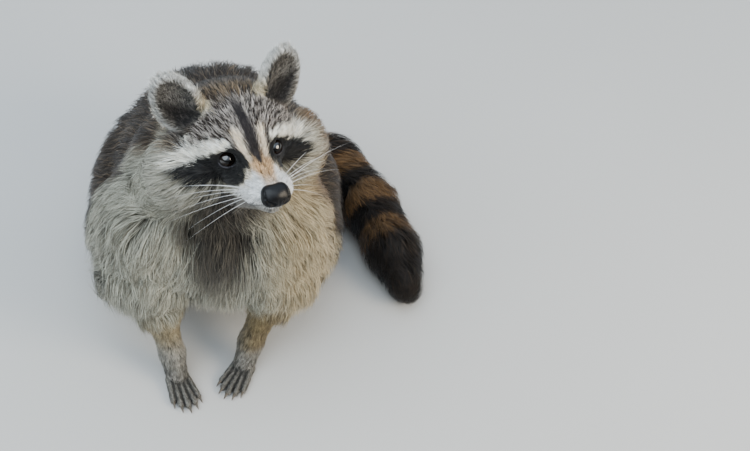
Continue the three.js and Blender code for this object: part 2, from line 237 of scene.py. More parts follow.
def rod_distance(points, start, along, radii):
    """Distance to a tapered rod with round ends."""
    away = points - start
    reach = away @ along
    span = along @ along
    share = np.clip(reach / span, 0, 1)
    across = np.einsum("...i,...i", away, away) + share * (share * span - 2 * reach)
    return np.sqrt(np.maximum(across, 0)) - (radii[0] + (radii[1] - radii[0]) * share)


def shape_distance(shape, points, bare):
    coat = shape["coat"] * bare
    if "centre" in shape:
        local = (points - shape["centre"]) @ shape["axes"].T
        return egg_distance(local, shape["radii"] - coat)
    return rod_distance(points, shape["start"], shape["along"], shape["radii"]) + coat


def low(a, b, blend):
    """The lower of two distances, blended: the join of two solids."""
    if blend <= 0:
        return np.minimum(a, b)
    h = np.maximum(blend - np.abs(a - b), 0) / blend
    return np.minimum(a, b) - h * h * blend * 0.25


def high(a, b, blend):
    return -low(-a, -b, blend)


FAR = 1e3  # beyond every distance that is measured here
# Each eye lies in a hollow of the skull
EYE_HOLLOW = np.array([10, 9, 8])
EYE_HOLLOW_BLEND = 4
hollows = [head_point(6.5, 25 * s, 0) for _, s in SIDES]


def body_distance(points, bare):
    """Distance to the body at the coat's tips (bare 0), or at the skin (bare 1)."""
    total = np.full(points.shape[:-1], FAR)
    for shape in shapes:
        total = low(total, shape_distance(shape, points, bare), shape["blend"])
    for bed in hollows:
        hollow = egg_distance((points - bed) @ HEAD_AXES.T, EYE_HOLLOW + bare * 0.5)
        total = high(total, -hollow, EYE_HOLLOW_BLEND)
    return total


def ear_distance(points, bare):
    total = np.full(points.shape[:-1], FAR)
    for root, axes in ears:
        local = (points - root) @ axes.T
        outer = egg_distance(local - (0, 14, 0), EAR_OUTER - EAR_COAT * bare)
        cup = egg_distance(local - (0, 17, 8), EAR_CUP + 0.8 * bare)
        total = np.minimum(total, high(outer, -cup, 3))
    return total


# Lids: a shell over each eyeball, opened in front by an oval a little wider than it is high
LID_THICKNESS = 1.0
LID_OPENING = np.array([8.0, 6.6, 7.2])
lid_axes = []
for axis in eye_axes:
    across = unit(TO_LEFT - axis * (axis @ TO_LEFT))
    lid_axes.append(np.stack([across, np.cross(axis, across), axis]))

# The mouth's line, on both sides from under the nose back to the corner
MOUTH = ((56, 0, -30), (52, 7, -30), (44, 14.5, -30), (33, 19, -30), (20, 21, -31), (8, 22.5, -31.5))
mouth = []
for _, s in SIDES:
    stops = [head_point(f, l * s, u) for f, l, u in MOUTH]
    mouth.extend(zip(stops, stops[1:]))


def mouth_distance(points):
    lines = [rod_distance(points, start, end - start, (1.0, 1.0)) for start, end in mouth]
    return np.min(lines, axis=0)


def lid_opening_distance(points):
    total = np.full(points.shape[:-1], FAR)
    for centre, axis, axes in zip(eye_centres, eye_axes, lid_axes):
        local = (points - centre - axis * EYE_RADIUS) @ axes.T
        total = np.minimum(total, egg_distance(local, LID_OPENING))
    return total


# How softly the ears, the lids and the edges of the lids and lips run into the rest
EAR_BLEND = 6
LID_BLEND = 3
EDGE_BLEND = 1
SKIN_CLEAR = 0.3  # the height at which the soles are cut off level


def skin_distance(points):
    total = low(body_distance(points, 1), ear_distance(points, 1), EAR_BLEND)
    for centre in eye_centres:
        shell = length_of(points - centre) - EYE_RADIUS - LID_THICKNESS
        total = low(total, shell, LID_BLEND)
    total = high(total, -lid_opening_distance(points), EDGE_BLEND)
    total = high(total, -mouth_distance(points), EDGE_BLEND)
    return high(total, SKIN_CLEAR - points[..., 2], 0)


SLOPE_STEP = 0.4


def slope(field, points):
    """The direction in which a distance grows, and the distance itself."""
    corners = np.array([[1, -1, -1], [-1, -1, 1], [-1, 1, -1], [1, 1, 1]]) * SLOPE_STEP
    total = np.zeros_like(points)
    middle = np.zeros(len(points))
    for corner in corners:
        value = field(points + corner)
        total += value[:, None] * corner
        middle += value / 4
    return total / (np.linalg.norm(total, axis=1, keepdims=True) + 1e-9), middle


NET_STEP = 2.2
NET_BLOCK = 8
NET_REACH = 1.6  # blocks whose middles lie within this many blocks of the skin are worked out
NET_BATCH = 200  # blocks at a time


def surface_net(field, corner, size, step):
    """A mesh of squares where the field is zero: one corner in each crossed cell of a grid."""
    blocks = np.ceil(np.array(size) / (step * NET_BLOCK)).astype(int) + 1
    counts = blocks * NET_BLOCK
    grid = np.stack(np.meshgrid(*[np.arange(b) for b in blocks], indexing="ij"), -1)
    middles = corner + (grid * NET_BLOCK + (NET_BLOCK - 1) / 2) * step
    rough = field(middles.reshape(-1, 3)).reshape(blocks)
    values = rough.astype(np.float32)
    for axis in range(3):
        values = np.repeat(values, NET_BLOCK, axis=axis)
    near = np.argwhere(np.abs(rough) < step * NET_BLOCK * NET_REACH)
    inner = np.stack(np.meshgrid(*[np.arange(NET_BLOCK)] * 3, indexing="ij"), -1)
    for some in np.array_split(near, max(1, len(near) // NET_BATCH)):
        cells = some[:, None, None, None] * NET_BLOCK + inner
        value = field((corner + cells * step).reshape(-1, 3))
        values[tuple(cells.reshape(-1, 3).T)] = value
    solid = values < 0

    total = np.zeros(counts - 1, np.int8)
    for a, b, c in np.ndindex(2, 2, 2):
        total += solid[a:counts[0] - 1 + a, b:counts[1] - 1 + b, c:counts[2] - 1 + c]
    cells = np.argwhere((total > 0) & (total < 8))
    index = np.full(total.shape, -1)
    index[tuple(cells.T)] = np.arange(len(cells))
    where = np.zeros((len(cells), 3))
    crossings = np.zeros(len(cells))
    for start in np.ndindex(2, 2, 2):
        for axis in range(3):
            if start[axis]:
                continue
            end = np.array(start)
            end[axis] = 1
            a = values[tuple((cells + start).T)]
            b = values[tuple((cells + end).T)]
            crossed = (a < 0) != (b < 0)
            share = np.where(crossed, a / np.where(a == b, 1, a - b), 0)
            where += (np.array(start) + np.eye(3)[axis] * share[:, None]) * crossed[:, None]
            crossings += crossed
    points = corner + (cells + where / crossings[:, None]) * step

    squares = []
    for axis in range(3):
        u, v = np.eye(3, dtype=int)[[(axis + 1) % 3, (axis + 2) % 3]]
        ahead = np.take(solid, range(1, counts[axis]), axis=axis)
        behind = np.take(solid, range(counts[axis] - 1), axis=axis)
        edges = np.argwhere(ahead != behind)
        corners = [index[tuple((edges - back).T)] for back in (u + v, v, 0 * u, u)]
        square = np.stack(corners, 1)
        inward = ~solid[tuple(edges.T)]
        square[inward] = square[inward][:, ::-1]
        squares.append(square)
    return points, np.concatenate(squares)


def new_mesh(name, points, faces):
    """A smooth-shaded mesh from arrays, all its faces with the same number of sides."""
    sides = faces.shape[1]
    mesh = bpy.data.meshes.new(name)
    mesh.vertices.add(len(points))
    mesh.vertices.foreach_set("co", place(points).astype(np.float32).ravel())
    mesh.loops.add(len(faces) * sides)
    mesh.loops.foreach_set("vertex_index", faces.astype(np.int32).ravel())
    mesh.polygons.add(len(faces))
    mesh.polygons.foreach_set("loop_start", np.arange(len(faces), dtype=np.int32) * sides)
    mesh.update(calc_edges=True)
    mesh.validate()
    mesh.polygons.foreach_set("use_smooth", np.ones(len(mesh.polygons), bool))
    piece = bpy.data.objects.new(name, mesh)
    bpy.context.scene.collection.objects.link(piece)
    return piece


skin_corner = np.array([-118.0, -112.0, -6.0])
skin_size = np.array([345.0, 425.0, 380.0])
points, squares = surface_net(skin_distance, skin_corner, skin_size, NET_STEP)
skin = new_mesh("skin", points, squares)

bpy.context.view_layer.objects.active = skin
skin.select_set(True)
bpy.ops.object.mode_set(mode="EDIT")
bpy.ops.mesh.select_all(action="SELECT")
bpy.ops.uv.smart_project(angle_limit=math.radians(66), island_margin=0.002)
bpy.ops.object.mode_set(mode="OBJECT")
skin.data.uv_layers[0].name = "OFBake"


def read(collection, field, width=3, kind=float):
    """One field of a mesh's vertices, faces or corners, as an array."""
    flat = np.zeros(len(collection) * width, np.float32 if kind is float else np.int32)
    collection.foreach_get(field, flat)
    return flat.reshape(-1, width).astype(kind)


def here(mesh):
    return read(mesh.vertices, "co") * METRE - shift


def head_coordinates(points):
    return (points - HEAD_AT) @ HEAD_AXES.T


def fine_parts(points):
    """Face, ears and feet, which are drawn more finely than the trunk."""
    forward, _, up = head_coordinates(points).T
    face = (forward > -22) & (up > -45) & (points[:, 2] > 250)
    ear = ear_distance(points, 1) < 1.5
    return face | ear | (points[:, 2] < 16)


def finest_parts(points):
    nose_end = np.linalg.norm(points - head_point(48, 0, -20), axis=1) < 24
    lids = np.min([np.linalg.norm(points - e, axis=1) for e in eye_centres], axis=0) < 13
    return lids | nose_end | (mouth_distance(points) < 2.5)


MOST_SHIFT = 1.5  # how far one pass may move a vertex on to the true surface
for chosen in (fine_parts, finest_parts):
    shell = bmesh.new()
    shell.from_mesh(skin.data)
    inside = chosen(here(skin.data))
    edges = [e for e in shell.edges if inside[e.verts[0].index] and inside[e.verts[1].index]]
    bmesh.ops.subdivide_edges(shell, edges=edges, cuts=1, use_grid_fill=True)
    shell.to_mesh(skin.data)
    shell.free()
    points = here(skin.data)
    for _ in range(2):
        normals, distance = slope(skin_distance, points)
        points -= normals * np.clip(distance, -MOST_SHIFT, MOST_SHIFT)[:, None]
    skin.data.vertices.foreach_set("co", place(points).astype(np.float32).ravel())
    skin.data.update()


def linear(colour):
    """A hex colour as the linear light that shaders work in."""
    parts = np.array([int(colour[n:n + 2], 16) for n in (1, 3, 5)]) / 255
    return np.where(parts > 0.04045, ((parts + 0.055) / 1.055) ** 2.4, parts / 12.92)


# Markings, for the hide and the coat alike. Each tone is a hair's root, its tip, the odd tips
# scattered among the others, and their share
TONES = {
    # Flank: dark grizzled fur, darkened further as painted shade
    "flank": ("#1d1813", "#4c4339", "#28221c", 0.35),
    # Back: near black, darker than its grizzled fur, as painted shade
    "back": ("#0f0c0a", "#2a2119", "#6a5b4a", 0.2),
    "chest": ("#39352c", "#b9b7a6", "#757061", 0.33),
    "tan chest": ("#4e402c", "#c1b08d", "#8b7a59", 0.3),
    "breast": ("#120e0c", "#4e483e", "#221e19", 0.48),
    # Dark fur down the middle of the chest, darkened further as painted shade
    "belly": ("#4a4234", "#8c826d", "#665d4a", 0.25),
    # Painted shadow under the chin and jaw, over somewhat darker throat hair
    "throat": ("#191614", "#504a41", "#24201c", 0.45),
    "leg": ("#635946", "#a5987b", "#7f7157", 0.3),
    "brown leg": ("#42351c", "#8a7954", "#59482d", 0.35),
    "wrist": ("#646058", "#a6a298", "#7e7a72", 0.25),
    "paw": ("#4f4b45", "#98948b", "#64615a", 0.3),
    "rump": ("#1a140f", "#433529", "#81705c", 0.22),
    "ring": ("#3a2a1a", "#735737", "#4a3722", 0.3),
    "dark ring": ("#0d0b09", "#19130f", "#33281d", 0.14),
    "forehead": ("#16110e", "#bcb2a7", "#2c221c", 0.64),
    "crown": ("#1c1511", "#91795a", "#2a211a", 0.52),
    "temple": ("#2a221c", "#9b8b74", "#3c3128", 0.48),
    "cheek": ("#666053", "#b6b2a3", "#8c8776", 0.28),
    "rust": ("#332215", "#7d5c38", "#412e1f", 0.38),
    "brow": ("#ccc5b4", "#fffbee", "#e4dccb", 0.2),
    "pale line": ("#b3a085", "#f4e3cb", "#d6c1a3", 0.25),
    "mask": ("#090808", "#171616", "#302e2b", 0.15),
    "stripe": ("#110e0f", "#272222", "#453e3c", 0.25),
    "bridge": ("#7b5c3c", "#ddb78a", "#a47b52", 0.33),
    "muzzle": ("#cfcfcb", "#ffffff", "#ecece8", 0.3),
    "cream": ("#86704f", "#ecd9b4", "#b9a27a", 0.3),
    # The white chin and the lower rim of the muzzle in painted shade: a grey tone
    "chin": ("#5c5954", "#a5a29b", "#7d7a74", 0.3),
    "ear rim": ("#a29f97", "#e6e5df", "#b9b6ae", 0.3),
    "ear inside": ("#090707", "#141110", "#46423e", 0.18),
    "ear streak": ("#181514", "#8e8981", "#282422", 0.42),
    "ear back": ("#211c1a", "#544b43", "#a8a298", 0.3),
    "ear tuft": ("#9e8c69", "#eadbba", "#c0ae89", 0.25),
}


def ease(value, start, end):
    """Rises softly from 0 at start to 1 at end."""
    t = np.clip((value - start) / (end - start), 0, 1)
    return t * t * (3 - 2 * t)


def flat_rod(x, y, start, end, radii, soft=2.0):
    """1 inside a tapered stroke drawn on the face, and 0 outside it."""
    points = np.stack([x, y], -1)
    along = np.array(end, float) - start
    return 1 - ease(rod_distance(points, np.array(start, float), along, radii), -soft / 2, soft / 2)


def zone_distance(points, zone):
    found = [shape_distance(shape, points, 0) for shape in shapes if shape["zone"] == zone]
    return np.min(found, axis=0)


tail_line = np.array([stop[:3] for stop in TAIL], float)
tail_steps = np.linalg.norm(np.diff(tail_line, axis=0), axis=1)
RING = 47.0  # millimetres from one dark ring of the tail to the next
TAIL_TIP = 250.0  # the tail is dark beyond this


def along_tail(points):
    best = np.full(len(points), FAR)
    reach = np.zeros(len(points))
    for n, step in enumerate(tail_steps):
        along = tail_line[n + 1] - tail_line[n]
        share = np.clip((points - tail_line[n]) @ along / step**2, 0, 1)
        away = np.linalg.norm(points - tail_line[n] - share[:, None] * along, axis=1)
        nearer = away < best
        best[nearer] = away[nearer]
        reach[nearer] = (tail_steps[:n].sum() + share * step)[nearer]
    return reach


def mark_body(lay, points, strays):
    """The trunk, legs, feet and tail. strays shifts a border from hair to hair, so tones mix."""
    x, y, z = points.T
    patchy = np.sin(0.09 * x + 0.05 * z) + np.sin(0.07 * y - 0.11 * z + 1.3)
    rearward = y + 0.5 * (z - 190) + 5 * patchy + 12 * strays
    # Everything starts from the flank's tone: dark fur with painted shade
    lay("flank", np.ones(len(points)))
    lay("belly", ease(z, 80, 45) * ease(np.abs(x), 80, 40))
    # Painted shade: the back is laid near black, darker than its fur
    lay("back", ease(rearward, 62, 100) * ease(z, 60, 120))
    lay("rump", ease(y, 130, 190) * ease(z, 150, 60))
    edge_of_front = rearward + 0.25 * (190 - z)
    band = ease(edge_of_front, 84, 52) * ease(edge_of_front, 38, 56)
    lay("rust", band * ease(z, 120, 170) * 0.6)
    front = ease(edge_of_front, 74, 46)
    lay("chest", front)
    lay("tan chest", front * ease(x, 34, 84) * 0.85)
    band = ease(edge_of_front, 36, 58) * ease(edge_of_front, 104, 74)
    lay("rust", ease(x, 64, 88) * band * ease(z, 105, 150) * 0.7)
    # The middle of the chest is darker from below the chin down to between the legs: partly dark fur,
    # partly painted shade
    breadth = 34 + 26 * ease(z, 130, 215)
    from_middle = np.abs(x - 12 + 5 * patchy + 16 * strays)
    breast = ease(from_middle, breadth, 0.3 * breadth) * ease(y, 6, -14)
    lay("breast", breast * ease(z + 20 * strays, 84, 165))
    # Painted shadow under the chin, in the throat's dark tone
    lay("throat", ease(np.abs(x - 20), 40, 14) * ease(y, -4, -20) * ease(z, 215, 240))
    arm = ease(zone_distance(points, "shin"), 10, 3) * ease(z, 84, 66)
    lay("leg", arm)
    lay("wrist", arm * ease(z, 58, 28))
    lay("brown leg", arm * ease(x, 10, 30) * ease(z, 16, 34) * (0.45 + 0.4 * ease(x - y, 15, 45)))
    lay("leg", ease(zone_distance(points, "shank"), 10, 2) * ease(z, 90, 45) * ease(y, 60, 84))
    lay("paw", ease(zone_distance(points, "paw"), 4, 0) * ease(z, 30, 18))
    # Painted shade in the gaps between the digits, in the mask's black
    near_floor = z < 22
    apart = np.sort([rod_distance(points[near_floor], *digit) for digit in digit_rods], axis=0)
    painted_shade_between_digits = np.zeros(len(points))
    painted_shade_between_digits[near_floor] = ease(apart[1] - apart[0], 3.0, 0.6) * ease(apart[0], 2.4, 1.0)
    lay("mask", painted_shade_between_digits * 0.85)
    tail = ease(zone_distance(points, "tail"), 5, 0)
    reach = along_tail(points)
    phase = np.abs(((reach - 30) / RING + 0.5) % 1 - 0.5) * RING  # from the ring's middle
    lay("ring", tail)
    lay("dark ring", tail * ease(phase, 13.5, 9.5))
    lay("dark ring", tail * ease(reach, TAIL_TIP, TAIL_TIP + 6))


def mark_head(lay, points, strays):
    """The skull, the cheeks and the mask, in the head's own forward, left and up."""
    f, l, u = head_coordinates(points).T
    aside = np.abs(l)
    grizzle = 1.6 * np.sin(0.9 * l + 0.35 * f) + 1.4 * np.sin(0.55 * f - 0.8 * l + 2)
    skull = length_of((np.stack([f, l, u], -1) - (-18, 0, -4)) / (80, 92, 60))
    head = ease(skull, 1.1, 0.94)
    # Painted shadow under the jaw and below the mouth, in the throat's dark tone
    under_jaw = ease(u, -34, -44) * ease(aside, 44, 24) * ease(f, -60, -35)
    lay("throat", under_jaw * ease(skull, 1.4, 1.1))
    lay("cheek", head * ease(u, 14, -2) * ease(u, -54, -40))
    lay("throat", head * ease(u, -31, -37) * ease(aside, 40, 24) * ease(f, 36, 22))
    lay("temple", head * ease(aside, 40, 54) * ease(u + grizzle, 2, 11))
    lay("forehead", head * ease(u + grizzle, 7, 13) * ease(aside, 66, 50))
    lay("crown", head * ease(f + 2 * grizzle, -28, -46) * ease(u, 12, 24))
    lay("rust", head * ease(l, 58, 74) * ease(f, -18, -42) * 0.85)
    # The back of the head takes the flank's dark tone, painted shade included
    lay("flank", head * ease(f, -58, -76))
    face = head * ease(f, -50, -36)
    edge = u + 0.5 * grizzle + 2.5 * strays
    # the stripe runs a little to the right of the crown
    middle = np.abs(l + 2.4 * ease(u, 0, 18)) + (1.2 + 1.6 * ease(u, 16, 30)) * strays
    lay("brow", face * np.maximum.reduce([
        flat_rod(middle, edge, (21, 18), (32, 15.5), (3.4, 4.8)),
        flat_rod(middle, edge, (32, 15.5), (48, 7.5), (4.8, 5.4), 3),
        flat_rod(middle, edge, (48, 7.5), (69, -1.5), (5.4, 7.5), 5) * 0.85,
    ]) * (1 - 0.8 * ease(l, 56, 68)))
    snout = f - 24.5 - 1.2 * np.minimum(u + 12, 0) + 0.9 * grizzle  # past 0 the muzzle is white
    snout += 5 * strays
    lay("muzzle", face * ease(snout, -4, 4) * ease(u, 9, 3) * ease(u, -35, -31))
    fringe = face * ease(snout, 9, 3) * ease(snout, -4, 0)
    lay("cream", fringe * ease(u, -24, -10) * ease(u, 9, 3) * 0.75)
    ridge = np.interp(f, (0, 22, 42), (11.5, 12.0, 7.5))
    bridge = ease(middle, ridge + 2.5, ridge - 4) * ease(f, 15, 23) * (1 - 0.5 * ease(f, 36, 54))
    lay("bridge", face * bridge * ease(u, -26, -18))
    lay("pale line", face * flat_rod(middle, u, (11.3, 26), (8.2, 4), (3.5, 2.4)) * ease(f, 25, 17))
    half = np.interp(f, (-46, -20, 5, 17, 28), (3.4, 5.2, 5.6, 4.8, 0.3))
    lay("stripe", face * ease(middle, half + 1.6, half - 1.6) * ease(f, -46, -12) * ease(f, 29, 25))
    outer_end = np.where(l < 0, 66, 55)
    squeezed = 34 + np.maximum(aside - 34, 0) * 30 / (outer_end - 34) + np.minimum(aside - 34, 0)
    mask = np.maximum.reduce([
        flat_rod(aside, u, (22, 3.5), (30, 0.5), (11.5, 9.5)),
        flat_rod(squeezed, edge, (34, -5), (67, -11.5), (11.5, 6.5), 4),
        flat_rod(squeezed, edge, (29, -14), (57, -16.5), (10.5, 6.5), 4),
        flat_rod(aside, u, (20, -8), (44, -11), (10.5, 9.5)),
        flat_rod(middle, u, (16.6, 20.5), (17.5, 12), (0.8, 2.2)) * 0.85,
    ])
    lay("mask", face * mask * ease(snout, 3.5, -2.5))
    # Painted shade: the chin and the lower rim of the muzzle turn grey
    lay("chin", face * ease(f, 28, 38) * ease(u, -30, -33))
    lay("chin", face * ease(snout, 3, 9) * ease(u, -22, -29) * 0.5)
    lay("mask", face * ease(mouth_distance(points), 3.4, 1.4) * ease(f, 20, 30) * 0.85)


def mark_ears(lay, points, strays):
    """Dark backs, white rims, black hollows and the pale hair at the inner edge."""
    for root_at, axes in ears:
        local = (points - root_at) @ axes.T
        spare = 4 * ease(local[:, 1], 4, 16)
        near = 1 - ease(egg_distance(local - (0, 14, 0), EAR_OUTER) - spare, 2.5, 4)
        near *= ease(local[:, 1], -8, 0)
        oval = length_of((local[:, :2] - (0, 14)) / (20.5, 30.5))
        inner = -np.sign((root_at - HEAD_AT) @ TO_LEFT) * local[:, 0]
        lay("ear back", near)
        cup = near * ease(local[:, 2], -3.5, -0.5)
        ragged = 0.06 * np.sin(1.1 * local[:, 0] + 0.8 * local[:, 1]) + 0.16 * strays
        hollow = cup * ease(oval + ragged, 1.0, 0.76)
        lay("ear rim", near * ease(oval, 0.74, 0.92) * ease(local[:, 2], -9, -5))
        lay("ear tuft", near * ease(oval, 0.66, 0.8) * ease(local[:, 1], 22, 4) * ease(inner, 2, 9))
        lay("ear inside", hollow)
        streaked = np.maximum(ease(local[:, 1] + 0.9 * inner, 8, 24), ease(oval, 0.5, 0.8))
        lay("ear streak", hollow * streaked * 0.9)


def markings(points, chance):
    """Root and tip colours of the hair at points on the outside of the coat. chance is each
    hair's own number from 0 to 1, which picks among a tone's colours."""
    root = np.tile(linear(TONES["flank"][0]), (len(points), 1))
    tip = root.copy()

    def lay(tone, weight):
        base, main, odd, share = TONES[tone]
        picked = np.where((chance < share)[:, None], linear(odd), linear(main))
        weight = np.clip(weight, 0, 1)[:, None]
        root[:] += (linear(base) - root) * weight
        tip[:] += (picked - tip) * weight

    for mark in (mark_body, mark_head, mark_ears):
        mark(lay, points, chance - 0.5)
    return root, tip


STORED_AS = {"color": "FLOAT_COLOR", "vector": "FLOAT_VECTOR", "value": "FLOAT"}


def store(mesh, name, field, values):
    """Keeps a value for each vertex under a name that a material looks up."""
    if field == "color":
        values = np.insert(values, 3, 1, axis=1)  # colours carry a fourth value, here always 1
    kept = mesh.attributes.new(name, STORED_AS[field], "POINT")
    kept.data.foreach_set(field, values.astype(np.float32).ravel())


skin_points = here(skin.data)
skin_normals = read(skin.data.vertices, "normal")
COAT_MOST = 33.0
NOSE_AT = (53, 0, -17.5)  # the middle of the nose pad, forward, left and up from HEAD_AT


def coat_depth(points):
    """How far the coat's tips stand out from the skin. It thins towards the lids and the nose."""
    depth = np.clip(-body_distance(points, 0), 0.6, COAT_MOST)
    depth = np.minimum(depth, np.maximum(points[..., 2] - 0.4, 0.6))
    ear = ear_distance(points, 1) < 1.0
    depth = np.where(ear, EAR_COAT, depth)
    lids = np.maximum(lid_opening_distance(points), 0)
    nose = length_of(points - head_point(*NOSE_AT)) - 11.5
    return np.minimum.reduce([depth, 0.7 + 0.4 * lids, 0.8 + 0.3 * np.maximum(nose, 0)])


skin_depth = coat_depth(skin_points)
outside = skin_points + skin_normals * skin_depth[:, None]
root_tone, tip_tone = markings(outside, np.full(len(outside), 0.9))
# Under the deep coat the hide is painted darker than the hairs' roots, as shade in the gaps between the
# locks; where the coat is short it takes a mix of the roots' and tips' colours
short = ease(skin_depth, 6, 1.5)[:, None]
hide_tone = root_tone * 0.6 * (1 - short) + (0.45 * root_tone + 0.4 * tip_tone) * short
gap_to_lid = lid_opening_distance(skin_points)
below = ease(head_coordinates(skin_points)[:, 2], 1, -2)
lower_lid_painted_highlight = ease(gap_to_lid, 0.5, 1.0) * ease(gap_to_lid, 2.2, 1.5) * below * 0.7
bare_edges = (
    ("#0f0e0f", ease(gap_to_lid, 2.2, 1.2)),  # the rims of the lids
    ("#56545a", lower_lid_painted_highlight),  # a painted highlight on the bare margin of the lower lid
    ("#1d1918", ease(mouth_distance(skin_points), 1.6, 0.8)),  # the lips
)
for colour, weight in bare_edges:
    hide_tone += (linear(colour) - hide_tone) * weight[:, None]
store(skin.data, "hide_tone", "color", hide_tone)


def add(material, kind, settings=None, links=None, **options):
    """Adds one node, fills its sockets, and links them to (node, output) pairs."""
    made = material.node_tree.nodes.new(kind)
    for option, value in options.items():
        setattr(made, option, value)
    for socket, value in (settings or {}).items():
        made.inputs[socket].default_value = value
    for socket, (source, output) in (links or {}).items():
        material.node_tree.links.new(source.outputs[output], made.inputs[socket])
    return made


def new_material(name):
    """A named material with no nodes yet."""
    material = bpy.data.materials.new(name)
    material.use_nodes = True
    material.node_tree.nodes.clear()
    return material


def shaded(material, colour, noise, settings):
    """The colour made a little lighter and darker by a noise."""
    shade = add(material, "ShaderNodeMapRange", settings, {"Value": (noise, "Fac")})
    return add(material, "ShaderNodeVectorMath", {}, {0: (colour, "Color"), 1: (shade, "Result")},
               operation="MULTIPLY")


def finish_material(material, shader):
    """Links the shader to the material's surface."""
    add(material, "ShaderNodeOutputMaterial", links={"Surface": (shader, "BSDF")})
    return material


def per_metre(millimetres):
    """A noise scale whose grain has that size."""
    return METRE / millimetres


# Tanned hide under a nap of the shortest hair: dull, with a fine grain in its tone and relief
hide = new_material("tanned_hide_with_short_nap")
where = add(hide, "ShaderNodeTexCoord")
tone = add(hide, "ShaderNodeAttribute", attribute_name="hide_tone")
NAP_GRAIN = 1.2
grain = add(hide, "ShaderNodeTexNoise",
            {"Scale": per_metre(NAP_GRAIN), "Detail": 3.0, "Roughness": 0.6},
            {"Vector": (where, "Object")})
colour = shaded(hide, tone, grain, {"To Min": 0.7, "To Max": 1.25})
relief = add(hide, "ShaderNodeBump", {"Strength": 0.5, "Distance": 0.0006}, {"Height": (grain, "Fac")})
shader = add(hide, "ShaderNodeBsdfPrincipled", {"Roughness": 0.75, "Specular IOR Level": 0.3},
             {"Base Color": (colour, "Vector"), "Normal": (relief, "Normal")})
skin.data.materials.append(finish_material(hide, shader))

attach(skin, "root")
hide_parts(*[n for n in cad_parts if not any(w in n for w in ("eye", "nose", "claw"))])


# ---- the coat of the trunk, neck and haunches -----------------------------------------------------
# Long guard hair over woolly underfur. It grows in locks whose tips draw together, and lies down
# and back along the body. The parting between locks shows the darker wool.
skin.data.calc_loop_triangles()
corner_index = read(skin.data.loop_triangles, "vertices", kind=int)
loop_index = read(skin.data.loop_triangles, "loops", kind=int)
skin_map = read(skin.data.uv_layers["OFBake"].data, "uv", 2)
patch_middle = skin_points[corner_index].mean(1)
patch_depth = skin_depth[corner_index].mean(1)
edge_a = skin_points[corner_index[:, 1]] - skin_points[corner_index[:, 0]]
edge_b = skin_points[corner_index[:, 2]] - skin_points[corner_index[:, 0]]
patch_area = np.linalg.norm(np.cross(edge_a, edge_b), axis=1) / 2
distances = np.stack([shape_distance(shape, patch_middle, 1) for shape in shapes])
zones = np.array([shape["zone"] for shape in shapes])
patch_zone = zones[distances.argmin(0)]
patch_zone = np.where(ear_distance(patch_middle, 1) < 0.8, "ear", patch_zone)
patch_head = head_coordinates(patch_middle)

LIE_BLEND = 7.0  # millimetres over which one shape's lie turns into its neighbour's


def lie_direction(points):
    """Which way the hair lies."""
    apart = np.stack([shape_distance(shape, points, 1) for shape in shapes])
    weights = np.exp(-(apart - apart.min(0)) / LIE_BLEND)
    x, y, z = points.T
    outward = 0.006 + 0.006 * ease(y, 60, 0) * ease(z, 100, 180)
    down = np.stack([outward * (x - 10), 0.1 + 0.4 * ease(y, 0, 80), np.full(len(x), -0.85)], 1)
    local = head_coordinates(points)
    source = np.zeros_like(local)
    source[:, 0] = 15 + 60 * ease(local[:, 0], -12, 36)
    source[:, 2] = -8
    swept = local - source
    swept[:, 2] -= 10 * ease(np.abs(local[:, 1]), 30, 60)
    swept = (swept / np.linalg.norm(swept, axis=1, keepdims=True)) @ HEAD_AXES
    total = np.zeros_like(points)
    for shape, weight in zip(shapes, weights):
        if isinstance(shape["lie"], str):
            way = down if shape["lie"] == DOWN_THE_BODY else swept
        else:
            way = shape["lie"]
        total += way * weight[:, None]
    for root_at, axes in ears:
        ear = (points - root_at) @ axes.T
        out = np.stack([ear[:, 0] / 18, (ear[:, 1] + 4) / 22, 0 * x], 1) @ axes
        near = ease(egg_distance(ear - (0, 14, 0), EAR_OUTER), 3, 1) * ease(ear[:, 1], -4, 4)
        total = total * (1 - near)[:, None] + out * near[:, None]
    return total


def flatten(directions, normals):
    """Turned into the skin's own plane, one long."""
    level = directions - normals * (directions * normals).sum(1, keepdims=True)
    return level / (np.linalg.norm(level, axis=1, keepdims=True) + 1e-9)


STATIONS = np.array([0.0, 0.35, 0.7, 1.0])  # shares of a lock's length where it may bend
RISE = 1 - (1 - STATIONS) ** 1.7


def courses(start, lie, length, lift, gravity, hang, clings):
    """The path of each lock over the skin, rising from it: points, normals, sideways and ahead."""
    places, normals, asides, aheads = [], [], [], []
    surface = start
    ahead = lie
    depth_there = coat_depth(start)
    for n, station in enumerate(STATIONS):
        if n:
            surface = surface + ahead * (length * (station - STATIONS[n - 1]))[:, None]
        if clings or n == 0:
            up, distance = slope(skin_distance, surface)
            surface = surface - up * np.clip(distance, -12, 12)[:, None]
            ahead = flatten(ahead + np.array([0, 0, -gravity]) * (n > 0), up)
        depth = np.minimum(coat_depth(surface), depth_there * 1.25 + 1) if clings else depth_there
        place_there = surface + up * (depth * lift * RISE[n] - 0.25 * (n == 0))[:, None]
        place_there[:, 2] -= hang * length * ease(up[:, 2], 0.25, -0.55) * station**1.5
        places.append(place_there)
        normals.append(up)
        aheads.append(ahead)
        asides.append(np.cross(up, ahead))
    return np.stack(places, 1), np.stack(normals, 1), np.stack(asides, 1), np.stack(aheads, 1)


PATCH = 0.003  # each lock's patch on the coat's map, as a share of the map's side
PATCH_CORNERS = np.array([[0, 0], [0, 0.35], [0, 0.7], [1, 0], [1, 0.35], [1, 0.7], [0.5, 1]])
FLOOR_CLEAR = 0.4
LEAST_GAP = 0.7
WIDEST_GAP = 4.5
TAPER = np.array([0.8, 1.0, 0.62, 0.0])  # a hair's breadth at its stations
# A hair is a ribbon of five triangles: three corners up each side, and the tip
RIBBON = np.array([[0, 4, 3], [0, 1, 4], [1, 5, 4], [1, 2, 5], [2, 6, 5]])
RIBBON_CORNERS = 7


def to_corners(values):
    """What each hair has at its four stations, for the seven corners of its ribbon."""
    return values[:, [0, 1, 2, 0, 1, 2, 3]]


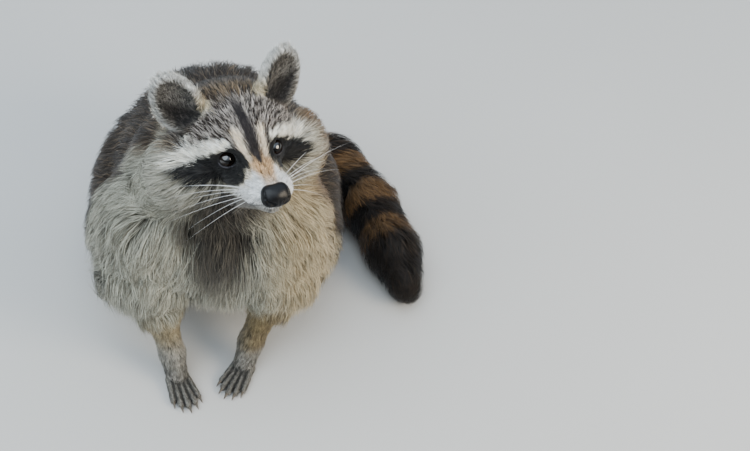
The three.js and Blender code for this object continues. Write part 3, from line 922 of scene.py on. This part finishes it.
def grow(name, weights, seed, strands, spacing, width, length, lift=0.95, gather=0.6,
         frizz=0.14, gravity=0.1, swirl=0.22, deep=0.55, drawn_in=0.0, leader_every=8, hang=0.0,
         alike=0.35, clings=True):
    """Locks of thin tapered hairs over the chosen triangles of the skin.

    spacing, width and length are (least, per millimetre of coat depth). gather draws a lock's
    hairs together, and drawn_in draws the locks themselves towards one in every leader_every of
    them. frizz and swirl turn hairs and locks aside, gravity and hang pull them down. deep is
    how much of the root's colour a hair keeps halfway, and alike is the share of a lock's hairs
    that have the same one of a tone's colours. A coat that clings follows the skin."""
    rng = np.random.default_rng(seed)
    gaps = np.clip(spacing[0] + spacing[1] * patch_depth, LEAST_GAP, WIDEST_GAP)
    expected = patch_area * weights / gaps**2
    count = int(expected.sum())
    picked = np.searchsorted(np.cumsum(expected), rng.random(count) * expected.sum())
    picked = np.minimum(picked, len(patch_area) - 1)
    shares = rng.random((count, 2))
    over = shares.sum(1) > 1
    shares[over] = 1 - shares[over]
    shares = np.concatenate([1 - shares.sum(1, keepdims=True), shares], 1)[..., None]
    start = (skin_points[corner_index[picked]] * shares).sum(1)
    up = (skin_normals[corner_index[picked]] * shares).sum(1)
    up /= np.linalg.norm(up, axis=1, keepdims=True)
    at_map = (skin_map[loop_index[picked]] * shares).sum(1)

    lie = flatten(lie_direction(start), up)
    drift = np.sin(start @ (0.11, 0.07, 0.09) + seed) + np.sin(start @ (-0.05, 0.13, 0.06))
    turn = swirl * (0.5 * drift + rng.normal(0, 0.6, count))
    lie = lie * np.cos(turn)[:, None] + np.cross(up, lie) * np.sin(turn)[:, None]
    depth = coat_depth(start)
    reach = (length[0] + length[1] * depth) * rng.uniform(0.8, 1.15, count)
    path, normals, asides, aheads = courses(start, lie, reach, lift, gravity, hang, clings)
    if drawn_in:
        leaders = path[::leader_every]
        tree = KDTree(len(leaders))
        for n, leader in enumerate(leaders[:, 0]):
            tree.insert(leader, n)
        tree.balance()
        followed = leaders[[tree.find(root)[1] for root in start]]
        path += (followed - path) * (drawn_in * STATIONS**1.3)[:, None]

    share = (count, strands)
    radius = np.sqrt(rng.random(share)) * (gaps[picked] * 0.75)[:, None]
    bearing = rng.uniform(0, 2 * math.pi, share)
    across = radius * np.cos(bearing)
    along = radius * np.sin(bearing)
    stretch = rng.uniform(0.72, 1.1, share)
    height = rng.uniform(0.62, 1.04, share)
    wander = rng.normal(0, frizz, share) * reach[:, None]
    hairs = []
    for n, station in enumerate(STATIONS):
        drawn = 1 - gather * station**0.8
        sideways = across * drawn + wander * station**2
        lengthways = along * drawn + reach[:, None] * (stretch - 1) * station
        rise = (depth * lift * RISE[n])[:, None] * (height - 1)
        hairs.append(
            path[:, n, None] + asides[:, n, None] * sideways[..., None]
            + aheads[:, n, None] * lengthways[..., None] + normals[:, n, None] * rise[..., None]
        )
    hairs = np.stack(hairs, 2)  # lock, hair, station, xyz

    twist = rng.uniform(-0.9, 0.9, share)[..., None, None]
    flat = asides[:, None] * np.cos(twist) + normals[:, None] * np.sin(twist)
    breadth = (width[0] + width[1] * depth)[:, None] * rng.uniform(0.7, 1.25, share)
    half = flat * (breadth[..., None] * TAPER / 2)[..., None]
    total = count * strands
    left = (hairs - half).reshape(total, 4, 3)
    right = (hairs + half).reshape(total, 4, 3)
    points = np.concatenate([left[:, :3], right[:, :3], left[:, 3:]], 1)
    points[..., 2] = np.maximum(points[..., 2], FLOOR_CLEAR)

    seen = (0.4 * hairs[:, :, 2] + 0.6 * hairs[:, :, 3]).reshape(total, 3)
    with_lock = rng.random(total) < alike
    chance = np.where(with_lock, np.repeat(rng.random(count), strands), rng.random(total))
    root_tone, tip_tone = markings(seen, chance)
    lock_light = np.repeat(rng.normal(1, 0.1, count), strands)
    light = (lock_light * rng.normal(1, 0.09, total)).clip(0.6, 1.4)[:, None]
    middle_tone = root_tone * deep + tip_tone * (1 - deep)
    tones = np.stack([root_tone * 0.75, middle_tone, tip_tone, tip_tone * 1.04], 1)
    tones = to_corners(tones * light[:, None]).clip(0, 1)

    faces = (np.arange(total)[:, None, None] * RIBBON_CORNERS + RIBBON).reshape(-1, 3)
    piece = new_mesh(name, points.reshape(-1, 3), faces)
    store(piece.data, "coat_tone", "color", tones.reshape(-1, 3))
    soft = np.repeat(normals[:, None], strands, 1).reshape(total, 4, 3)
    own = np.cross(hairs[:, :, 1:] - hairs[:, :, :-1], flat[:, :, 1:])
    own = np.concatenate([own, own[:, :, -1:]], 2).reshape(total, 4, 3)
    own /= np.linalg.norm(own, axis=-1, keepdims=True) + 1e-9
    own *= np.sign((own * soft).sum(-1, keepdims=True))
    shading = soft * 0.7 + own * 0.3 + rng.normal(0, 0.12, (total, 1, 3))
    shading = to_corners(shading)
    shading /= np.linalg.norm(shading, axis=-1, keepdims=True)
    store(piece.data, "custom_normal", "vector", shading)

    spot = np.repeat(at_map, strands, 0)[:, None] - PATCH / 2
    map_points = np.clip(spot + PATCH_CORNERS * PATCH, 0, 1).reshape(-1, 2)
    uv = piece.data.uv_layers.new(name="OFBake")
    uv.data.foreach_set("uv", map_points[faces.ravel()].astype(np.float32).ravel())
    piece.data.update()
    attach(piece, "root")
    return piece


# Hair as it grew: each shaft is smooth and slightly glossy, but crossed hairs scatter the light,
# so the coat looks soft with a faint sheen along its edges
def hair_material(name, lock_size, rough, gloss, sheen):
    material = new_material(name)
    where = add(material, "ShaderNodeTexCoord")
    tone = add(material, "ShaderNodeAttribute", attribute_name="coat_tone")
    patchy = add(material, "ShaderNodeTexNoise", {"Scale": per_metre(lock_size), "Detail": 2.0},
                 {"Vector": (where, "Object")})
    contrast = {"From Min": 0.3, "From Max": 0.7, "To Min": 0.82, "To Max": 1.16}
    colour = shaded(material, tone, patchy, contrast)
    shader = add(
        material, "ShaderNodeBsdfPrincipled",
        {"Roughness": rough, "Specular IOR Level": gloss, "Sheen Weight": sheen, "Sheen Roughness": 0.5},
        {"Base Color": (colour, "Vector")},
    )
    return finish_material(material, shader)


guard_hair = hair_material("raccoon_guard_hair", 9.0, 0.6, 0.25, 0.12)
quick = 1.0
# What grow takes as spacing, width and length for the long coat
BODY_SPACING = (1.3, 0.085)
BODY_WIDTH = (0.34, 0.018)
BODY_LENGTH = (4.0, 1.35)

in_trunk = np.isin(patch_zone, ("trunk", "arm", "thigh"))
px, py, pz = patch_middle.T
FRONT_ENDS = 55
BACK_FROM = 105
BACK_HALF = 62
in_front = py < FRONT_ENDS
over_back = (pz >= BACK_FROM) & (np.abs(px) < BACK_HALF)
regions = {  # where, the hairs in a lock, and how many locks are drawn towards one
    "coat_chest_right": (in_trunk & in_front & (px < 0), 15, 14),
    "coat_chest_left": (in_trunk & in_front & (px >= 0), 15, 14),
    "coat_back": (in_trunk & ~in_front & over_back, 9, 8),
    "coat_flank_right": (in_trunk & ~in_front & ~over_back & (px < 0), 8, 8),
    "coat_flank_left": (in_trunk & ~in_front & ~over_back & (px >= 0), 8, 8),
    "coat_neck": (patch_zone == "neck", 12, 11),
}
for seed, (name, (chosen, hairs, followers)) in enumerate(regions.items()):
    piece = grow(name, chosen * quick, 11 + seed, hairs, BODY_SPACING, BODY_WIDTH, BODY_LENGTH,
                 gather=0.75, drawn_in=0.66, leader_every=followers, hang=0.55, swirl=0.32)
    piece.data.materials.append(guard_hair)


# ---- the coat of the head ------------------------------------------------------------------------
# Short grizzled hair that fans out from the nose: a few millimetres long on the muzzle and mask,
# longer over the skull, and full ruffs on the cheeks. Dark hairs and white-tipped ones mix on the
# forehead.
face_hair = hair_material("raccoon_face_hair", 5.0, 0.62, 0.22, 0.1)
in_head = patch_zone == "head"
forward, left, upward = patch_head.T
MUZZLE_FROM = 14
CROWN_FROM = -26
TOP_FROM = 4
TOP_HALF = 34
behind = in_head & (forward <= MUZZLE_FROM)
on_top = (upward > TOP_FROM) & (np.abs(left) < TOP_HALF)
RUFF = ((0.95, 0.09), (0.36, 0.028), (3.0, 1.6))
ruff_habit = dict(drawn_in=0.45, hang=0.3)
regions = {  # where, then spacing, width and length, and how its locks differ from the others
    "coat_muzzle": (
        in_head & (forward > MUZZLE_FROM), ((0.95, 0.085), (0.27, 0.024), (3.2, 1.4)), dict(deep=0.8)),
    "coat_forehead": (
        behind & on_top & (forward > CROWN_FROM), ((1.0, 0.075), (0.36, 0.024), (3.4, 1.4)),
        dict(alike=0.7)),
    "coat_crown": (
        behind & on_top & (forward <= CROWN_FROM), ((1.0, 0.075), (0.38, 0.024), (3.8, 1.55)),
        dict(alike=0.7, frizz=0.2, lift=1.2)),
    "coat_cheek_right": (behind & ~on_top & (left < 0), RUFF, ruff_habit),
    "coat_cheek_left": (behind & ~on_top & (left >= 0), RUFF, ruff_habit),
}
BARE_LID = 1.6
BARE_LIP = 0.9
clear = lid_opening_distance(patch_middle) > BARE_LID
clear &= mouth_distance(patch_middle) > BARE_LIP
for seed, (name, (chosen, sizes, habit)) in enumerate(regions.items()):
    habit = dict(gather=0.35, frizz=0.12, gravity=0.03) | habit
    piece = grow(name, chosen * clear * quick, 31 + seed, 5, *sizes, **habit)
    piece.data.materials.append(face_hair)


# ---- the ears' hair ------------------------------------------------------------------------------
# Velvet on the backs, black hollows with a few long pale hairs, and a thick white fringe that
# stands out round the rim.
in_ear = patch_zone == "ear"
piece = grow("coat_ears", in_ear * quick, 41, 5, (1.3, 0.05), (0.31, 0.02), (5.2, 0.6),
             lift=1.25, gather=0.3, frizz=0.2, gravity=0, swirl=0.4)
piece.data.materials.append(face_hair)
RIM_FROM = 0.86  # of the way from the ear's middle to its edge
RIM_DEPTH = 7  # either way from the middle of the shell's thickness
on_rim = np.zeros(len(patch_middle), bool)
for root_at, axes in ears:
    local = (patch_middle - root_at) @ axes.T
    outward = length_of((local[:, :2] - (0, 14)) / EAR_OUTER[:2])
    on_rim |= (outward > RIM_FROM) & (np.abs(local[:, 2]) < RIM_DEPTH)
piece = grow("coat_ear_fringe", in_ear * on_rim * quick, 42, 4, (2.0, 0), (0.28, 0), (8.5, 0), lift=1.6,
             gather=0.4, frizz=0.22, gravity=0, swirl=0.35, clings=False)
piece.data.materials.append(face_hair)


# ---- the coat of the legs and feet ---------------------------------------------------------------
# Close hair that lies down the shins and over the hands and soles, down to the claws.
leg_hair = hair_material("raccoon_leg_hair", 6.0, 0.6, 0.25, 0.1)
regions = {  # where, then spacing, width and length
    "coat_shins": (
        np.isin(patch_zone, ("shin", "shank")), ((1.25, 0.085), (0.34, 0.02), (3.4, 1.25))),
    "coat_feet": (patch_zone == "paw", ((1.8, 0.1), (0.36, 0.03), (3.0, 1.2))),
}
SOLE = 1.5  # below this the feet are bare
off_floor = patch_middle[:, 2] > SOLE
for seed, (name, (chosen, sizes)) in enumerate(regions.items()):
    piece = grow(name, chosen * off_floor * quick, 51 + seed, 5, *sizes, gather=0.35, gravity=0.02)
    piece.data.materials.append(leg_hair)


# ---- the coat of the tail ------------------------------------------------------------------------
# A thick brush, ringed black and rust. The hair runs towards the tip.
tail_hair = hair_material("raccoon_tail_hair", 9.0, 0.6, 0.25, 0.12)
piece = grow("coat_tail", (patch_zone == "tail") * quick, 61, 9, BODY_SPACING, BODY_WIDTH, (4, 1.3),
             drawn_in=0.3)
piece.data.materials.append(tail_hair)


# ---- whiskers ------------------------------------------------------------------------------------
# Stiff white hairs in rows on the lip pads, each as thick as fishing line at the root and drawn
# out to nothing.
WHISKERS_A_SIDE = 8
WHISKER_RADIUS = 0.21
WHISKER_LENGTHS = (58, 86)


def tube_faces(rings, sides):
    """Triangles over rings of points, closed at both ends by the two points after the last ring."""
    faces = []
    for n in range(rings - 1):
        for k in range(sides):
            a, b = n * sides + k, n * sides + (k + 1) % sides
            faces += [(a, b, b + sides), (a, b + sides, a + sides)]
    last = (rings - 1) * sides
    first_end = rings * sides
    for k in range(sides):
        beside = (k + 1) % sides
        faces += [(first_end, beside, k), (first_end + 1, last + k, last + beside)]
    return np.array(faces)


def tube(points, radii, sides=6):
    """Points and triangles of a round tube along some stops, closed at both ends."""
    ring = np.linspace(0, 2 * math.pi, sides, endpoint=False)
    around = []
    for n, stop in enumerate(points):
        way = unit(points[min(n + 1, len(points) - 1)] - points[max(n - 1, 0)])
        side = unit(np.cross(way, (0.3, 0.2, 1.0)))
        over = np.cross(way, side)
        circle = np.cos(ring)[:, None] * side + np.sin(ring)[:, None] * over
        around.append(stop + circle * radii[n])
    corners = np.concatenate([*around, [points[0], points[-1]]])
    return corners, tube_faces(len(points), sides)


def joined(parts):
    """Several (points, triangles) as one."""
    offset = 0
    all_points, all_faces = [], []
    for points, faces in parts:
        all_points.append(points)
        all_faces.append(faces + offset)
        offset += len(points)
    return np.concatenate(all_points), np.concatenate(all_faces)


rng = np.random.default_rng(71)
tubes = []
for _, s in SIDES:
    for n in range(WHISKERS_A_SIDE):
        row = n % 3
        column = n // 3
        root = head_point(33 - 5.5 * column - row, (16.5 + 1.5 * column) * s, -17 - 4.5 * row)
        length = rng.uniform(*WHISKER_LENGTHS) * (1 - 0.14 * row)
        out = head_direction(-0.35 - 0.15 * column, s, 0.3 - 0.32 * row + rng.uniform(-0.12, 0.12))
        back = head_direction(-0.9, 0.1 * s, -0.9)
        share = np.linspace(0, 1, 12)[:, None]
        line = root + out * length * share + back * length * rng.uniform(0.42, 0.75) * share**1.9
        tubes.append(tube(line, WHISKER_RADIUS * (1 - share[:, 0] * 0.93)))
whiskers = new_mesh("whiskers", *joined(tubes))


def clouded(material, scale, colours, detail=2.0):
    """A surface colour that drifts between two close ones."""
    where = add(material, "ShaderNodeTexCoord")
    cloudy = add(material, "ShaderNodeTexNoise", {"Scale": scale, "Detail": detail},
                 {"Vector": (where, "Object")})
    one, other = [(*linear(colour), 1) for colour in colours]
    return add(material, "ShaderNodeMix", {6: one, 7: other}, {"Factor": (cloudy, "Fac")},
               data_type="RGBA")


# Keratin, solid and unpigmented: white and slightly glossy
keratin = new_material("white_whisker_keratin")
colour = clouded(keratin, per_metre(8.0), ("#dcdbd6", "#ffffff"))
shader = add(keratin, "ShaderNodeBsdfPrincipled", {"Roughness": 0.35}, {"Base Color": (colour, 2)})
whiskers.data.materials.append(finish_material(keratin, shader))
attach(whiskers, "root")


# ---- the eyes ------------------------------------------------------------------------------------
# Glass eyes, as a taxidermist sets them: a dark brown iris and a wide pupil painted behind a clear
# polished dome that stands a little proud of the ball.
RINGS = 40
SEGMENTS = 64
# Glass over dark paint: nearly black, mirror-smooth, so that it takes one clear highlight
glass = new_material("dark_brown_glass_eye")
away = add(glass, "ShaderNodeAttribute", attribute_name="from_middle")
fibres = add(glass, "ShaderNodeTexNoise", {"Scale": per_metre(0.6), "Detail": 3.0},
             {"Vector": (add(glass, "ShaderNodeTexCoord"), "Object")})
painted = add(glass, "ShaderNodeValToRGB", {}, {"Fac": (away, "Fac")})
ramp = painted.color_ramp
# Pupil, iris and the dark ring round it, from the middle outwards
EYE_PAINT = (
    (0.0, "#050405"), (0.3, "#060505"), (0.36, "#1c110b"), (0.52, "#150d09"), (0.62, "#060505"),
)
for at, colour in EYE_PAINT:
    stop = ramp.elements.new(at) if at else ramp.elements[0]
    stop.position = at
    stop.color = (*linear(colour), 1)
ramp.elements[-1].color = (*linear("#0b0a0a"), 1)
colour = shaded(glass, painted, fibres, {"To Min": 0.6, "To Max": 1.4})
film = add(glass, "ShaderNodeAttribute", attribute_name="polish")
shader = add(
    glass, "ShaderNodeBsdfPrincipled",
    {"Roughness": 0.3, "Specular IOR Level": 0.0, "Coat Roughness": 0.02, "Coat IOR": 2.0},
    {"Base Color": (colour, "Vector"), "Coat Weight": (film, "Fac")},
)
finish_material(glass, shader)
DOME = 0.5  # how far the clear dome stands proud
SOCKET_PLAY = 0.05
polar = np.linspace(0, math.pi, RINGS + 1)
turn = np.linspace(0, 2 * math.pi, SEGMENTS, endpoint=False)
radius = EYE_RADIUS + DOME * (1 - ease(polar, 0.25, 0.85)) - SOCKET_PLAY
out = (radius * np.sin(polar))[1:-1, None]
ahead = np.repeat((radius * np.cos(polar))[1:-1, None], SEGMENTS, 1)
local = np.stack([out * np.cos(turn), out * np.sin(turn), ahead], -1).reshape(-1, 3)
local = np.concatenate([local, [[0, 0, radius[0]], [0, 0, -radius[-1]]]])
from_middle = np.concatenate([np.repeat(polar[1:-1], SEGMENTS), [0, math.pi]]) / math.pi * 2
# The polish stops short of the lower lid, so that the pale floor hardly shows in the eye
polish = 0.12 + 0.88 * ease(local[:, 1] / EYE_RADIUS, -0.4, -0.02)
faces = tube_faces(RINGS - 1, SEGMENTS)[:, ::-1]
for (side, _), centre, axes in zip(SIDES, eye_centres, lid_axes):
    eye = new_mesh(f"glass_eye_{side}", centre + local @ axes, faces)
    store(eye.data, "from_middle", "value", from_middle)
    store(eye.data, "polish", "value", polish)
    eye.data.materials.append(glass)
    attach(eye, "root")
    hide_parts(f"eye_{side}")


# ---- the nose ------------------------------------------------------------------------------------
# The bare nose pad: dark leathery skin with comma-shaped nostrils and a groove down its middle.
NOSE_RADII = np.array([9.0, 12.0, 10.0])
# A nostril runs from its hole in front, out and up along the pad's side
NOSTRIL = ((8.4, 4.8, -4.4), (6.6, 8.6, -2.2), (4.9, 10.4, 1.6), (2.8, 9.2, 6.0))


def nose_distance(points):
    local = head_coordinates(points) - NOSE_AT
    pad = egg_distance(local, NOSE_RADII)
    for _, s in SIDES:
        wing = egg_distance(local - (0.8, 7.0 * s, -1.8), (6.4, 5.3, 6.0))
        shoulder = egg_distance(local - (-1.4, 6.0 * s, 4.2), (6.2, 5.0, 5.0))
        pad = low(low(pad, wing, 3), shoulder, 4)
    for _, s in SIDES:
        stops = [np.array([f, l * s, u]) for f, l, u in NOSTRIL]
        for start, end, radii in zip(stops, stops[1:], ((2.3, 1.6), (1.5, 0.9), (0.9, 0.4))):
            pad = high(pad, -rod_distance(local, start, end - start, radii), 1.0)
    groove_top = np.array([9.6, 0, -1.0])
    groove_end = np.array([7.0, 0, -9.0])
    return high(pad, -rod_distance(local, groove_top, groove_end - groove_top, (0.7, 0.9)), 1.0)


ball_mesh = bmesh.new()
bmesh.ops.create_icosphere(ball_mesh, subdivisions=6, radius=1)
rays = np.array([v.co for v in ball_mesh.verts])
triangles = np.array([[v.index for v in face.verts] for face in ball_mesh.faces])
ball_mesh.free()
middle = head_point(*NOSE_AT)
rays = rays * NOSE_RADII @ HEAD_AXES
rays /= np.linalg.norm(rays, axis=1, keepdims=True)
NOSE_PASSES = 40
NOSE_PACE = 0.6  # the share of the remaining distance that a pass goes
reach = np.zeros(len(rays))
for _ in range(NOSE_PASSES):
    reach -= NOSE_PACE * nose_distance(middle + rays * reach[:, None])
nose = new_mesh("nose_pad", middle + rays * reach[:, None], triangles)
nose_height = head_coordinates(here(nose.data))[:, 2] - NOSE_AT[2]
store(nose.data, "wet", "value", 0.04 + 0.32 * ease(nose_height, -2, 3))
# Moist leather: dark slate, pebbled, with a broad soft shine on top and drier beneath
leather = new_material("moist_nose_leather")
where = add(leather, "ShaderNodeTexCoord")
PEBBLE = 0.55
pebbles = add(leather, "ShaderNodeTexVoronoi", {"Scale": per_metre(PEBBLE)},
              {"Vector": (where, "Object")}, feature="SMOOTH_F1")
colour = clouded(leather, per_metre(4.0), ("#050506", "#0f0f12"))
wetness = add(leather, "ShaderNodeAttribute", attribute_name="wet")
relief = add(leather, "ShaderNodeBump", {"Strength": 0.25, "Distance": 0.0003},
             {"Height": (pebbles, "Distance")})
shader = add(leather, "ShaderNodeBsdfPrincipled",
             {"Roughness": 0.42, "Specular IOR Level": 0.15, "Coat Roughness": 0.3},
             {"Base Color": (colour, 2), "Normal": (relief, "Normal"), "Coat Weight": (wetness, "Fac")})
nose.data.materials.append(finish_material(leather, shader))
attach(nose, "root")
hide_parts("nose")


# ---- the claws -----------------------------------------------------------------------------------
# Horn sheaths on the last bone of each digit, set in the skin: short, curved and blunt.
CLAW_LENGTH = 10.0
CLAW_RADIUS = 1.9
CLAW_ROOT = 4.5  # how far back in the digit's end it starts
CLAW_HEIGHT = 3.6
# Horn, worn smooth: it clouds from near black to grey-brown and has a low shine
horn = new_material("claw_horn")
colour = clouded(horn, per_metre(1.5), ("#241f1b", "#6f6557"), 3.0)
shader = add(horn, "ShaderNodeBsdfPrincipled", {"Roughness": 0.35}, {"Base Color": (colour, 2)})
finish_material(horn, shader)
for foot, tips in feet.items():
    tubes = []
    for tip, out, radius in tips:
        share = np.linspace(0, 1, 8)
        start = tip + out * (radius - CLAW_ROOT)
        start[2] = CLAW_HEIGHT
        line = start + out * CLAW_LENGTH * share[:, None]
        line[:, 2] += 1.6 * share - 2.9 * share**2.2
        radii = CLAW_RADIUS * 0.85 * (1 - share**1.6) ** 0.6
        radii[-1] = 0.15
        line[:, 2] = np.maximum(line[:, 2], radii + 0.2)
        tubes.append(tube(line, radii, 10))
    claws = new_mesh(f"claws_{foot}", *joined(tubes))
    claws.data.materials.append(horn)
    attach(claws, "root")
    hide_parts(*[f"{foot}_claw_{n + 1}" for n in range(len(tips))])


# ---- floor, light and camera ---------------------------------------------------------------------
# A pale matt studio floor under a wide soft light from above, as under an overcast sky.
FLOOR_SIZE = 8.0
floor_mesh = bmesh.new()
bmesh.ops.create_grid(floor_mesh, x_segments=8, y_segments=8, size=FLOOR_SIZE / 2)
floor = bpy.data.objects.new("floor", bpy.data.meshes.new("floor"))
floor_mesh.to_mesh(floor.data)
floor_mesh.free()
bpy.context.scene.collection.objects.link(floor)
# Matt paint, rolled on: pale warm grey with no shine
paint = new_material("matt_floor_paint")
colour = clouded(paint, 3.0, ("#c9c7c2", "#cfcdc9"))
shader = add(paint, "ShaderNodeBsdfPrincipled", {"Roughness": 0.9, "Specular IOR Level": 0.2},
             {"Base Color": (colour, 2)})
floor.data.materials.append(finish_material(paint, shader))
floor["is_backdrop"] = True

world = bpy.data.worlds.new("studio")
bpy.context.scene.world = world
world.use_nodes = True
world.node_tree.nodes.clear()
way = add(world, "ShaderNodeTexCoord")
height = add(world, "ShaderNodeSeparateXYZ", links={"Vector": (way, "Generated")})
rise = add(world, "ShaderNodeMapRange", {"From Min": 0.25, "From Max": 0.72}, {"Value": (height, "Z")})
sky = add(world, "ShaderNodeMix", {6: (0.2, 0.2, 0.195, 1), 7: (1.35, 1.6, 1.9, 1)},
          {"Factor": (rise, "Result")}, data_type="RGBA")
glow = add(world, "ShaderNodeBackground", {"Strength": 0.7}, {"Color": (sky, 2)})
add(world, "ShaderNodeOutputWorld", links={"Surface": (glow, "Background")})


def softbox(name, at, toward, size, watts, colour):
    light = bpy.data.lights.new(name, "AREA")
    light.shape = "DISK"
    light.size = size
    light.energy = watts
    light.color = colour
    lamp = bpy.data.objects.new(name, light)
    bpy.context.scene.collection.objects.link(lamp)
    lamp.location = at
    way = np.array(toward) - np.array(at)
    lamp.rotation_mode = "QUATERNION"
    lamp.rotation_quaternion = Vector(way).to_track_quat("-Z", "Y")


softbox("sky", (-0.9, -0.9, 2.0), (0, 0, 0.2), 3.2, 64, (0.84, 0.93, 1.0))
softbox("warm_side", (1.5, -0.9, 1.0), (0, 0, 0.2), 1.1, 32, (1.0, 0.87, 0.68))

CAMERA_AT = np.array([34.0, -1080.7, 1375.7])
CAMERA_AZIMUTH = math.radians(-5.98)
CAMERA_HEIGHT = math.radians(47.04)
CAMERA_ROLL = math.radians(-6.0)
LENS = 84.8
back = pointing(CAMERA_AZIMUTH, CAMERA_HEIGHT)
level_right = unit(np.cross((0, 0, 1), back))
level_up = np.cross(back, level_right)
right = math.cos(CAMERA_ROLL) * level_right - math.sin(CAMERA_ROLL) * level_up
over = math.sin(CAMERA_ROLL) * level_right + math.cos(CAMERA_ROLL) * level_up
lens = bpy.data.cameras.new("camera")
lens.lens = LENS
lens.sensor_width = 36.0
camera = bpy.data.objects.new("camera", lens)
bpy.context.scene.collection.objects.link(camera)
turn = Matrix(np.stack([right, over, back], 1).tolist()).to_4x4()
camera.matrix_world = Matrix.Translation(place(CAMERA_AT)) @ turn
bpy.context.scene.camera = camera

low_corner, high_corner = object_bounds()
sizes = {
    "cad": [list(cad_low), list(cad_high)],
    "visual": [list(low_corner), list(high_corner)],
}
